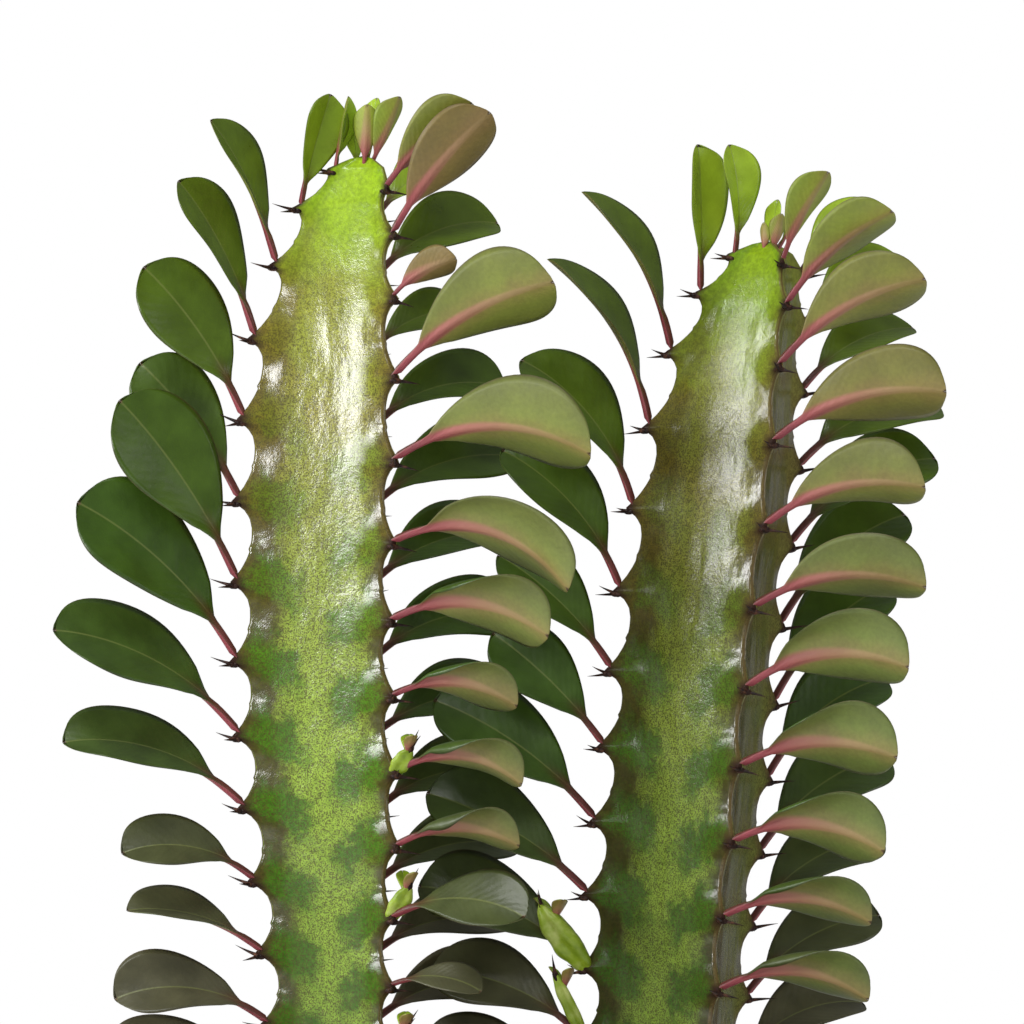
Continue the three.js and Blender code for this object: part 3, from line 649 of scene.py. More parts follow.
def euphorbia_skin():
    """Living skin under wax: light green where it is new, then olive and speckled, with a dark
    green patch between two tubercles on both sides of a pale, dotted middle. The horny margins
    of the ribs are brown, and nearly black at the beaks of the tubercles."""
    material, tree, shader = finish_of("euphorbia stem skin, waxed")
    place = add(tree, "ShaderNodeTexCoord", output=3)
    read = {name: add(tree, "ShaderNodeAttribute", output=2, attribute_name=name)
            for name in ("across", "below", "near", "rung", "browned", "shade")}
    from_middle = add(tree, MATHS, [read["across"]], operation="ABSOLUTE")
    wander = add(tree, "ShaderNodeTexNoise", {"Vector": place, "Scale": 60.0, "Detail": 3.0})
    cloud = add(tree, "ShaderNodeTexNoise", {"Vector": place, "Scale": 190.0, "Detail": 5.0,
                                             "Roughness": 0.62})
    grain = add(tree, "ShaderNodeTexNoise", {"Vector": place, "Scale": 900.0, "Detail": 3.0})
    # stomata and corky dots, drawn at about 0.4 mm so that they show
    dots = add(tree, "ShaderNodeTexNoise", {"Vector": place, "Scale": 2500.0, "Detail": 1.0})
    wandered = add(tree, MATHS, [wander, 44.0, read["below"]], operation="MULTIPLY_ADD")
    uneven = add(tree, MATHS, [cloud, 0.7, from_middle], operation="MULTIPLY_ADD")
    # painted shade: one half of every face, where across is below zero, is pushed further towards
    # the darker colour of the ribs' sides
    rib_nearness_and_painted_shade = add(tree, MATHS, [read["across"], -0.24, uneven], operation="MULTIPLY_ADD")
    strayed = add(tree, MATHS, [cloud, 1.0, read["rung"]], operation="MULTIPLY_ADD")
    phase = add(tree, MATHS, [strayed, math.tau], operation="MULTIPLY")
    bays = add(tree, MATHS, [phase], operation="SINE")

    # each share: what it is read from, the span of that, and the share at both ends of the span
    share = {}
    straight = {
        "age": (wandered, 22.0, 340.0, 0.0, 1.0),
        "patch": (bays, -0.9, 0.4, 0.0, 1.0),
        "patch age": (wandered, 75.0, 150.0, 0.15, 0.95),
        "dots": (dots, 0.46, 0.6, 0.0, 0.8),
        "dot age": (wandered, 36.0, 80.0, 0.15, 1.0),
        "tone": (grain, 0.35, 0.65, 0.82, 1.16),
        "beak": (from_middle, 0.8, 0.96, 0.0, 1.0),
        "margin": (from_middle, 0.992, 0.999, 0.0, 1.0),
        "rough": (cloud, 0.3, 0.7, 0.3, 0.45),
        "dulled": (read["below"], 80.0, 170.0, 0.0, 0.14),
    }
    eased = {
        "flank_and_painted_shade": (rib_nearness_and_painted_shade, 0.7, 1.08, 0.0, 1.0),
        "patch inside": (uneven, 0.38, 0.66, 0.0, 1.0),
        "patch outside": (uneven, 1.35, 1.05, 0.0, 1.0),
        "near beak": (read["near"], 3.8, 0.6, 0.0, 1.0),
        "near wear": (read["near"], 8.5, 3.0, 0.0, 1.0),
        "side wear": (from_middle, 0.35, 0.65, 0.0, 1.0),
    }
    for manner, rows in (("LINEAR", straight), ("SMOOTHSTEP", eased)):
        for name, row in rows.items():
            share[name] = add(tree, "ShaderNodeMapRange", row, interpolation_type=manner)

    # the colours of the middle of a face, of its ribs and of its patches, by age
    middle = add(tree, "ShaderNodeValToRGB", [share["age"]], stops=[
        (0.0, "#a4c81c"), (0.06, "#98ba1e"), (0.12, "#98a030"), (0.22, "#949036"),
        (0.36, "#94a638"), (0.5, "#8fac36"), (0.75, "#7c9c30"), (1.0, "#688828")])
    flank_and_painted_shade = add(tree, "ShaderNodeValToRGB", [share["age"]], stops=[
        (0.0, "#8cb414"), (0.06, "#849a1c"), (0.13, "#7a7022"), (0.26, "#64581a"),
        (0.4, "#4a4a10"), (0.75, "#35390e"), (1.0, "#28290d")])
    patch_colour = add(tree, "ShaderNodeValToRGB", [share["age"]], stops=[
        (0.2, "#5a7f14"), (0.5, "#41700c"), (1.0, "#2f520b")])
    browning = add(tree, MATHS, [read["browned"], 0.8], operation="MULTIPLY")
    # the patches are ragged, one to a bay, and weaker on young or browned skin
    green = add(tree, MATHS, [1.0, read["browned"]], operation="SUBTRACT")
    patch = share["patch"]
    for part in (share["patch inside"], share["patch outside"], share["patch age"], green):
        patch = add(tree, MATHS, [patch, part], operation="MULTIPLY")
    speckle = add(tree, MATHS, [share["dots"], share["dot age"]], operation="MULTIPLY")
    colour = middle
    # the ribs' darker colour is laid on by a share that also holds the painted shade on one half of
    # every face
    for part, layer in ((share["flank_and_painted_shade"], flank_and_painted_shade), (browning, linear("#8e7c48")),
                        (patch, patch_colour), (speckle, linear("#4a4218"))):
        colour = add(tree, "ShaderNodeMix",
                     {"Factor_Float": part, "A_Color": colour, "B_Color": layer}, 2,
                     data_type="RGBA")
    # the grain's tone, darkened by the stem's painted shade
    tone = add(tree, MATHS, [share["tone"], read["shade"]], operation="MULTIPLY")
    colour = add(tree, "ShaderNodeVectorMath", {0: colour, "Scale": tone}, operation="SCALE")

    # the horny brown margin, and the nearly black beak of each tubercle
    dark_beak = add(tree, MATHS, [share["near beak"], share["beak"]], operation="MULTIPLY")
    horny = add(tree, MATHS, [dark_beak, share["margin"]], operation="MAXIMUM")
    horn_tone = add(tree, "ShaderNodeMix",
                    {"Factor_Float": share["near beak"], "A_Color": linear("#5e4c28"),
                     "B_Color": linear("#2c170e")}, 2, data_type="RGBA")
    colour = add(tree, "ShaderNodeMix",
                 {"Factor_Float": horny, "A_Color": colour, "B_Color": horn_tone}, 2,
                 data_type="RGBA")

    # the wax is worn off around the tubercles, and duller on old skin
    worn = add(tree, MATHS, [share["near wear"], share["side wear"]], operation="MULTIPLY")
    rough = add(tree, MATHS, [share["rough"], share["dulled"]])
    rough = add(tree, MATHS, [worn, 0.35, rough], operation="MULTIPLY_ADD")
    wax = add(tree, "ShaderNodeMapRange", {0: worn, 3: 1.0, 4: 0.05})
    # it is hammered by the cells beneath it, over soft upright folds
    stretched = add(tree, "ShaderNodeMapping", {"Vector": place, "Scale": (1.0, 1.0, 0.5)})
    folds = add(tree, "ShaderNodeTexNoise", {"Vector": stretched, "Scale": 110.0, "Detail": 2.0,
                                             "Distortion": 0.25})
    relief = add(tree, MATHS, [grain, 0.12, folds], operation="MULTIPLY_ADD")
    relief = add(tree, MATHS, [dots, 0.05, relief], operation="MULTIPLY_ADD")
    bump = add(tree, "ShaderNodeBump", {"Strength": 0.6, "Distance": 0.7 * MM, "Height": relief})
    feed(tree, shader, {
        "Base Color": colour, "Roughness": rough, "Specular IOR Level": 0.2, "Normal": bump,
        "Coat Weight": wax, "Coat IOR": 1.6, "Coat Roughness": 0.17, "Coat Normal": bump})
    return material


skin = euphorbia_skin()
for name, stem in STEMS.items():
    rings, values, tip = stem_skin(stem)
    body = smooth_body(name + "_body", list(rings), tip, skin, "plant", name)
    for value, array in values.items():
        layer = body.data.attributes.new(value, "FLOAT", "POINT")
        layer.data.foreach_set("value", np.append(array, 0.0))  # the last one is the tip's


# ---------------------------------------------------------------- the young side shoots
# Small new shoots that break from a few low tubercles. Each is a soft yellow-green bud with
# three wings, grown from its rib, and carries a pair of leaflets near its tip.

# Each shoot's stem, rib, tubercle, rise, azimuth, length and reach.
YOUNG_SHOOTS = [
    ("stem_right", 0, 10, 52, -92, 22, 3.6), ("stem_right", 0, 11, 64, -84, 21, 1.8),
    ("stem_left", 1, 8, 50, 62, 9, 2.2), ("stem_left", 1, 10, 56, 74, 11, 2.4),
    ("stem_left", 1, 12, 52, 60, 10, 2.3),
]
SHOOT_ROOTED = 3
SHOOT_SIDES = 24
SHOOT_RINGS = 22
SHOOT_WINGS = 0.26  # how far its three wings stand out from its round core
SHOOT_BAYS = 0.07  # how deeply the wings are scalloped
SHOOT_BAY_TURNS = 20  # radians along a shoot
SHOOT_POINT = 0.1
SHOOT_OUTLINE = [[0, 0.3], [0.08, 0.62], [0.3, 0.95], [0.55, 1], [0.8, 0.8], [0.94, 0.45],
                 [1, 0.12]]
LEAFLET_TURNS = (-40, 110)
LEAFLET_LENGTH = 6
LEAFLET_PLACE = 0.7
LEAFLET_RISES = (8, -24)  # how much steeper than its shoot it is at its foot and at its end
LEAFLET_LOOK = {"turn": 0, "fold": 20, "age": 0.05, "bronze": 0.5}
LEAFLET_SEED = 950


def tubercle_point(stem, rib, height):
    """The tip of a tubercle: where its rib reaches furthest out at that height."""
    return axis_at(stem, height) + outward(rib[0]) * read_keys(stem["axis"], height, 3)


def shoot_direction(rise, azimuth):
    lean = math.radians(rise)
    return outward(azimuth) * math.cos(lean) + np.array([0, 0, math.sin(lean)])


def shoot_root(stem, rib_index, number):
    rib = stem["ribs"][rib_index]
    height = tubercles(stem, rib)[number]
    return tubercle_point(stem, rib, height) - outward(rib[0]) * SHOOT_ROOTED


def shoot_rings(root, direction, azimuth, length, reach):
    """Rings of a winged bud along its direction, and its tip."""
    side = sideways(azimuth)
    up = np.cross(direction, side)
    rings = []
    for t in np.linspace(0, 1, SHOOT_RINGS):
        radius = read_keys(SHOOT_OUTLINE, t) * reach
        ring = []
        for i in range(SHOOT_SIDES):
            angle = math.tau * i / SHOOT_SIDES
            wide = radius * (1 + SHOOT_WINGS * math.cos(3 * angle))
            bay = 1 + SHOOT_BAYS * math.cos(3 * angle) * math.sin(t * SHOOT_BAY_TURNS)
            ring.append(root + direction * length * t
                        + (side * math.sin(angle) - up * math.cos(angle)) * wide * bay)
        rings.append(ring)
    return rings, root + direction * (length + reach * SHOOT_POINT)


def new_growth_skin():
    """New skin, thin and sappy: yellow green, paler in soft clouds, with a soft gloss."""
    material, tree, shader = finish_of("new euphorbia skin")
    place = add(tree, "ShaderNodeTexCoord", output=3)
    cloud = add(tree, "ShaderNodeTexNoise", {"Vector": place, "Scale": 190.0, "Detail": 4.0})
    colour = add(tree, "ShaderNodeValToRGB", [cloud],
                 stops=[(0.3, "#6f8a16"), (0.5, "#8fa82a"), (0.7, "#b6c36a")])
    fine = add(tree, "ShaderNodeTexNoise", {"Vector": place, "Scale": 1200.0, "Detail": 2.0})
    bump = add(tree, "ShaderNodeBump", {"Strength": 0.3, "Distance": 0.2 * MM, "Height": fine})
    feed(tree, shader, {"Base Color": colour, "Roughness": 0.38, "Normal": bump})
    return material


new_skin = new_growth_skin()
for number, (name, rib, tubercle, rise, azimuth, length, reach) in enumerate(YOUNG_SHOOTS, 1):
    root = shoot_root(STEMS[name], rib, tubercle)
    direction = shoot_direction(rise, azimuth)
    smooth_body(f"young_shoot_{number}", *shoot_rings(root, direction, azimuth, length, reach),
                new_skin, "plant", name)


# ---------------------------------------------------------------- the spines
# Every tubercle ends in a small dark horny pad with two stiff spines, spread to both sides of
# the rib. They grow with the stem, dry out and turn nearly black, and stay on.

SPINE_LENGTH = 6.4
SPINE_LEAST = 0.85  # the share of it that the shortest pair has
SPINE_GROWTH = 0.3
SPINE_HALF_WIDTH = 0.62
SPINE_POINT = 0.04
SPINE_ROOTED = 1.1
SPINE_LOWER = 0.6
SPINE_SPREAD = 42
SPINE_STRAY = 7
SPINE_SIDES = 6
SPINE_RINGS = 5
SPINE_RISES = {-1: 12, 1: -5}  # of the two spines of a pair
SPINE_LENGTHS = {-1: 1.0, 1: 0.8}
SPINE_BEND = 0.45  # how far its point is bent aside
SPINE_SEED = 50  # added to a rib's own seed
BRISTLE_PLACE = 0.93  # share of a shoot's length
BRISTLE_RISE = 0.3  # how much steeper each one stands than the one before it
BRISTLE_SPREAD = 0.9
BRISTLE_LENGTHS = (2.5, 3.7, 4.9, 6.1)
BRISTLE_SEED = 70
PAD_RADIUS = 0.9
PAD_LENGTH = 1.8


def spine_rows(stem):
    """Root, direction and length of each spine of a stem."""
    rows = []
    for rib in stem["ribs"]:
        for number, height in enumerate(tubercles(stem, rib)):
            growth = SPINE_LEAST + draw(rib[2], number) * SPINE_GROWTH
            for side in (-1, 1):
                stray = jitter(rib[2] + SPINE_SEED, number * 2 + side, SPINE_STRAY)
                direction = outward(rib[0] + side * SPINE_SPREAD + stray)
                direction[2] = math.tan(math.radians(SPINE_RISES[side] + stray))
                root = tubercle_point(stem, rib, height) - outward(rib[0]) * SPINE_ROOTED
                root[2] -= SPINE_LOWER
                length = SPINE_LENGTH * growth * SPINE_LENGTHS[side] + SPINE_ROOTED
                rows.append((root, direction / np.linalg.norm(direction), length))
    return rows


def shoot_spine_rows(name):
    """The few soft bristles at the tip of each shoot on a stem."""
    rows = []
    for number, (stem, rib, tubercle, rise, azimuth, length, reach) in enumerate(YOUNG_SHOOTS):
        if stem == name:
            direction = shoot_direction(rise, azimuth)
            tip = shoot_root(STEMS[stem], rib, tubercle) + direction * length * BRISTLE_PLACE
            for bristle, bristle_length in enumerate(BRISTLE_LENGTHS):
                aside = jitter(number + BRISTLE_SEED, bristle, BRISTLE_SPREAD)
                lean = direction + sideways(azimuth) * aside \
                    + np.array([0, 0, BRISTLE_RISE * bristle])
                rows.append((tip, lean / np.linalg.norm(lean), bristle_length))
    return rows


def spine_tree():
    """Fine curved cones with a swollen foot, one on each point, along its direction."""
    tree, size = geometry_tree("spines", {
        "Half width": "Float", "Point": "Float", "Pad radius": "Float", "Pad length": "Float"})
    # the needle is one unit long, and is stretched to each spine's length
    needle = add(tree, "GeometryNodeMeshCone", {
        0: SPINE_SIDES, 1: SPINE_RINGS, 3: size["Point"], 4: size["Half width"], 5: 1.0})
    place = add(tree, "GeometryNodeInputPosition")
    height = add(tree, "ShaderNodeSeparateXYZ", [place], 2)
    height = add(tree, MATHS, [height, 2.0], operation="POWER")
    aside = add(tree, MATHS, [height, SPINE_BEND * MM], operation="MULTIPLY")
    bent = add(tree, "ShaderNodeCombineXYZ", {"X": aside})
    needle = add(tree, "GeometryNodeSetPosition", {"Geometry": needle, "Offset": bent})
    direction = add(tree, "GeometryNodeInputNamedAttribute", ["direction"],
                    data_type="FLOAT_VECTOR")
    length = add(tree, "GeometryNodeInputNamedAttribute", ["length"])
    turn = add(tree, "FunctionNodeAlignRotationToVector", {2: direction}, axis="Z")
    reach = add(tree, "ShaderNodeCombineXYZ", [1.0, 1.0, length])
    needles = add(tree, "GeometryNodeInstanceOnPoints",
                  {"Points": size["Geometry"], "Instance": needle, "Rotation": turn,
                   "Scale": reach})
    pad = add(tree, "GeometryNodeMeshIcoSphere", [size["Pad radius"], 2])
    shape = add(tree, MATHS, [size["Pad length"], size["Pad radius"]], operation="DIVIDE")
    shape = add(tree, "ShaderNodeCombineXYZ", [1.0, 1.0, shape])
    pad = add(tree, "GeometryNodeTransform", {"Geometry": pad, "Scale": shape})
    pads = add(tree, "GeometryNodeInstanceOnPoints",
               {"Points": size["Geometry"], "Instance": pad, "Rotation": turn})
    spines = add(tree, "GeometryNodeJoinGeometry", [[needles, pads]])
    spines = add(tree, "GeometryNodeSetShadeSmooth", [spines])
    return end_tree(tree, spines, size["Material"])


def horn():
    """Dry horn: streaked nearly black and brown, and semi-gloss."""
    material, tree, shader = finish_of("spine horn, dry")
    place = add(tree, "ShaderNodeTexCoord", output=3)
    streaks = add(tree, "ShaderNodeTexNoise", {"Vector": place, "Scale": 650.0, "Detail": 3.0})
    colour = add(tree, "ShaderNodeValToRGB", [streaks],
                 stops=[(0.35, "#190e0a"), (0.55, "#35201a"), (0.75, "#6a4530")])
    rough = add(tree, "ShaderNodeMapRange", {0: streaks, 1: 0.3, 2: 0.7, 3: 0.35, 4: 0.6})
    bump = add(tree, "ShaderNodeBump", {"Strength": 0.4, "Distance": 0.15 * MM,
                                        "Height": streaks})
    feed(tree, shader, {"Base Color": colour, "Roughness": rough, "Specular IOR Level": 0.2,
                        "Normal": bump})
    return material


def pointed_source(name, rows, units):
    """A mesh of bare points, one a row, that carries the rows' other columns as attributes."""
    source = plain_object(name, [row[0] for row in rows], [])
    for column, (attribute, unit) in enumerate(units.items(), 1):
        values = np.array([row[column] for row in rows], dtype=float) * unit
        kind, field = ("FLOAT", "value") if values.ndim == 1 else ("FLOAT_VECTOR", "vector")
        layer = source.data.attributes.new(attribute, kind, "POINT")
        layer.data.foreach_set(field, values.ravel())
    return source


spines = spine_tree()
dry_horn = horn()
for name, stem in STEMS.items():
    source = pointed_source("spine_points", spine_rows(stem) + shoot_spine_rows(name),
                            {"direction": 1, "length": MM})
    piece = grow(name + "_spines", spines, source, {
        "Half width": SPINE_HALF_WIDTH * MM,
        "Point": SPINE_POINT * MM,
        "Pad radius": PAD_RADIUS * MM,
        "Pad length": PAD_LENGTH * MM,
        "Material": dry_horn,
    })
    settle(piece, "plant", name)


# ---------------------------------------------------------------- the leaves
# One leaf grows from each tubercle, above its spines: a stiff crimson stalk that runs on as a
# thick midrib, and a fleshy blade, widest near its round end and folded up along the midrib.
# New leaves at the tips are small, upright and light green. Old ones are dull and greyish.

# The leaves of each rib are keyed by distance below the tip of the stem. bearing: the way a
# leaf points. foot and tip: its rise at its foot and its end. turn: about its own midrib. fold:
# of each half. All these are degrees, but length. bronze: how reddish brown a leaf is. rolled:
# how far the raised margin of a folded leaf curls over.
LEAF_KEYS = {
    ("stem_left", 0): {
        "bearing": [[0, -80], [62, -82], [84, -110], [106, -78], [300, -80]],
        "foot": [[0, 98], [12, 104], [22, 79], [43, 73], [64, 70], [84, 66], [106, 65], [128, 60],
                 [150, 54], [170, 47], [190, 40], [226, 38], [300, 38]],
        "tip": [[0, 106], [12, 104], [22, 56], [43, 48], [64, 42], [84, 44], [106, 45], [130, 30],
                [150, 8], [170, -8], [190, -16], [206, 4], [226, -16], [300, -20]],
        "length": [[0, 21], [12, 32], [24, 40], [45, 46], [64, 50], [84, 44], [106, 60], [150, 61],
                   [170, 55], [190, 38], [210, 41], [226, 44], [245, 48], [300, 40]],
        "turn": [[0, 35], [12, 66], [24, 30], [45, 40], [62, 64], [106, 70], [128, 60], [150, 50],
                 [170, 38], [190, 44], [210, 22], [226, 46], [300, 46]],
        "fold": [[0, 24], [60, 14], [150, 14], [200, 20], [300, 24]],
        "bronze": [[0, 0.1], [60, 0]],
        "rolled": [[0, 0]],
    },
    ("stem_left", 1): {
        "bearing": [[0, 66]],
        "foot": [[0, 44], [16, 62], [36, 42], [56, 48], [78, 34], [100, 24], [178, 30], [220, 22],
                 [300, 18]],
        "tip": [[0, 26], [16, 42], [36, 12], [56, 10], [78, -26], [100, -46], [120, -38],
                [160, -38], [178, -22], [220, -30], [300, -32]],
        "length": [[0, 30], [16, 43], [34, 20], [56, 57], [78, 61], [100, 61], [120, 51],
                   [140, 38], [160, 40], [178, 36], [200, 43], [217, 25], [235, 34], [300, 34]],
        "turn": [[0, 40], [36, 50], [60, 50], [78, 58], [120, 58], [178, 52], [190, 50],
                 [200, -38], [300, -40]],
        "fold": [[0, 12], [50, 18], [78, 22], [120, 20], [178, 24], [200, 10], [300, 12]],
        "bronze": [[0, 0.1], [12, 0.75], [30, 0.9], [45, 0.1], [90, 0.1]],
        "rolled": [[0, 0], [84, 0], [100, 0.5], [120, 0.8], [190, 1], [200, 0]],
    },
    ("stem_left", 2): {
        "bearing": [[0, 120]],
        "foot": [[0, 58], [30, 48], [60, 46], [120, 42], [300, 34]],
        "tip": [[0, 20], [30, 0], [60, -8], [120, -12], [300, -20]],
        "length": [[0, 30], [12, 34], [28, 44], [48, 33], [70, 48], [110, 52], [170, 50],
                   [300, 40]],
        "turn": [[0, -36], [300, -44]],
        "fold": [[0, 20], [300, 22]],
        "bronze": [[0, 0.2], [40, 0]],
        "rolled": [[0, 0]],
    },
    ("stem_right", 0): {
        "bearing": [[0, -101]],
        "foot": [[0, 96], [10, 89], [25, 78], [45, 85], [67, 74], [89, 69], [110, 60], [130, 56],
                 [206, 42], [300, 34]],
        "tip": [[0, 80], [10, 92], [25, 34], [45, 40], [67, 30], [89, 26], [110, 34], [130, 38],
                [150, 22], [206, 4], [300, -8]],
        "length": [[0, 29], [12, 42], [28, 50], [48, 54], [67, 53], [89, 51], [112, 46], [132, 42],
                   [150, 55], [206, 50], [300, 42]],
        "turn": [[0, 40], [14, 30], [25, 4], [45, 5], [67, 27], [89, 36], [110, 52], [300, 52]],
        "fold": [[0, 22], [14, 22], [25, 17], [45, 17], [80, 16], [300, 20]],
        "bronze": [[0, 0.35], [60, 0.3], [100, 0]],
        "rolled": [[0, 0]],
    },
    ("stem_right", 1): {
        "bearing": [[0, 66]],
        "foot": [[0, 72], [12, 54], [30, 46], [48, 40], [70, 36], [115, 33], [137, 29], [197, 26],
                 [300, 20]],
        "tip": [[0, 56], [12, 28], [30, 4], [48, -2], [70, -16], [115, -16], [137, -27],
                [197, -30], [300, -36]],
        "length": [[0, 26], [12, 38], [30, 46], [48, 51], [115, 50], [137, 46], [197, 44],
                   [300, 38]],
        "turn": [[0, 16], [30, 46], [70, 58], [115, 60], [150, 60], [300, 58]],
        "fold": [[0, 18], [30, 20], [70, 20], [115, 22], [300, 24]],
        "bronze": [[0, 0.1], [50, 0.4], [80, 0.15], [110, 0]],
        "rolled": [[0, 0], [88, 0], [100, 0.35], [120, 0.7], [190, 0.9]],
    },
    ("stem_right", 2): {
        "bearing": [[0, 120]],
        "foot": [[0, 58], [30, 48], [57, 44], [80, 50], [110, 58], [160, 54], [300, 44]],
        "tip": [[0, 30], [30, 4], [57, -4], [80, 8], [110, 22], [160, 8], [300, -10]],
        "length": [[0, 28], [20, 38], [37, 42], [60, 50], [160, 50], [300, 42]],
        "turn": [[0, -24], [75, -38], [300, -46]],
        "fold": [[0, 20], [75, 16], [300, 20]],
        "bronze": [[0, 0.1]],
        "rolled": [[0, 0]],
    },
}
# Small leaves crowded round each growing tip: bearing, rise and length.
CROWN_LEAVES = {
    "stem_left": [[66, 60, 21], [20, 76, 17], [150, 68, 20], [-150, 74, 13]],
    "stem_right": [[40, 66, 11], [-20, 82, 8], [110, 56, 22], [150, 70, 15]],
}
CROWN_DEPTH = 3  # how far below the tip they are rooted
CROWN_RADIUS = 2
CROWN_BEND = 8  # how much steeper each one is at its end than at its foot
CROWN_LOOK = {"turn": 20, "fold": 24, "age": 0}
CROWN_SEED = 900
LEAF_STRAY = {"bearing": 5, "foot": 3, "tip": 6, "length": 2, "turn": 8, "fold": 4}
LOWEST_LEAF = 178  # older leaves below this height have dropped
LEAF_ROOTED = 2.4
LOW_ROOT = -1.4  # how far above its tubercle a leaf's foot is at the tip of the stem
HIGH_ROOT = 0.7  # and where the stem is full grown
PETIOLE_SHARE = 0.17
PETIOLE_RADIUS = 1.2
MIDRIB_END_RADIUS = 0.4
BLADE_THICKNESS = 0.8
WIDTH_TO_LENGTH = 0.48
RISE_TO_WIDEST = 1.1
FALL_TO_APEX = 0.5
CURLED_WIDENING = 0.6  # how much wider the half with a curled margin is
CURL_START = 0.22  # share of a half from which it curls
CURL_TIGHTNESS = 2.3
CURL_EARLY = 0.6  # under 1, so the curl is strongest nearer the stalk than the apex
LEAST_CURL = 0.02  # a margin without a curl still has this, as nothing can be divided by zero
LEAF_ROWS = 34
LEAF_COLUMNS = 19
ROW_CROWDING = 1.5  # how much the rows crowd at the apex
COLUMN_CROWDING = 1.3  # and the columns at the midrib
# The shortest and the longest leaf between which the stalk thickens, and its share at the first.
STALK_GROWTH = (8, 46, 0.35)
STALK_JOIN = 0.7  # how softly the stalk widens into the blade
STALK_END = 0.006  # share of a leaf over which its foot is closed
STALK_TOP = 0.8  # how high the stalk's cord stands above, against beneath
OPENING = 0.2  # share of the blade over which its halves open to their fold
CUP = 0.16  # this and the next are shares of a leaf's half width
WAVE = 0.07
WAVE_TURNS = 7.0  # radians along a leaf's margin
WAVE_STRAY = 6.0  # radians between one leaf and another
CORD_FADE = 0.6  # under 1, so the cord thins soonest near the stalk
CORD_WIDTH = 1.2  # half width against half thickness
BLUNT_APEX = 12.0  # the higher, the later a leaf thins towards its end
LOBE_START = 0.75
LOBES = 3.2
SEAM = 0.004  # points closer than this are one where both sides of a leaf meet
LEAST_BEND = 0.5  # degrees from foot to tip, as an arc without a bend has no radius


def leaf_row(root, bearing, foot, tip, length, turn, fold, age, seed, bronze=0.0, rolled=0.0):
    """One leaf's values in the order of LEAF_POINT_VALUES."""
    bend = tip - foot if abs(tip - foot) > LEAST_BEND else LEAST_BEND
    rolled_side = -1.0 if turn > 0 else 1.0
    return (root, bearing - 90, foot, bend, length, turn, fold, age, bronze,
            rolled * rolled_side, draw(seed, 7), draw(seed, 8))


# What a leaf's point carries, each with the unit that it is stored in.
DEGREE = math.pi / 180
LEAF_POINT_VALUES = {
    "heading": DEGREE, "foot": DEGREE, "bend": DEGREE, "length": MM, "turn": DEGREE,
    "fold": DEGREE, "age": 1, "bronze": 1, "rolled": 1, "wave": 1, "tint": 1}

TOP_AGE = 12  # a leaf's age is its distance below the tip and this,
OLD_AT = 260  # as a share of this


def leaf_rows(name, stem):
    """Every leaf of a stem: those of its tubercles, its crown and its young shoots."""
    rows = []
    for rib_index, rib in enumerate(stem["ribs"]):
        keys = LEAF_KEYS[name, rib_index]
        for number, height in enumerate(tubercles(stem, rib)):
            if height > LOWEST_LEAF:
                reach = read_keys(stem["axis"], height, 3)
                root = tubercle_point(stem, rib, height) - outward(rib[0]) * LEAF_ROOTED
                root[2] += LOW_ROOT + (HIGH_ROOT - LOW_ROOT) * grown_share(reach)
                below = stem["top"] - height
                values = {key: read_keys(keys[key], below)
                          + jitter(rib[2], number + 100 * (order + 1), stray)
                          for order, (key, stray) in enumerate(LEAF_STRAY.items())}
                rows.append(leaf_row(
                    root, **values, age=min(1, (below + TOP_AGE) / OLD_AT),
                    seed=rib[2] * 40 + number, bronze=read_keys(keys["bronze"], below),
                    rolled=read_keys(keys["rolled"], below)))
    dome = stem["axis"][-1][0]
    for number, (bearing, rise, length) in enumerate(CROWN_LEAVES[name]):
        root = axis_at(stem, dome - CROWN_DEPTH) + outward(bearing) * CROWN_RADIUS
        rows.append(leaf_row(root, bearing, foot=rise, tip=rise + CROWN_BEND, length=length,
                             seed=CROWN_SEED + number, **CROWN_LOOK))
    for shoot, rib_index, tubercle, rise, azimuth, length, reach in YOUNG_SHOOTS:
        if shoot == name:
            root = shoot_root(stem, rib_index, tubercle)
            root = root + shoot_direction(rise, azimuth) * length * LEAFLET_PLACE
            foot, tip = (rise + steeper for steeper in LEAFLET_RISES)
            for turn in LEAFLET_TURNS:
                rows.append(leaf_row(root, azimuth + turn, foot, tip, LEAFLET_LENGTH + reach,
                                     seed=LEAFLET_SEED + turn, **LEAFLET_LOOK))
    return rows


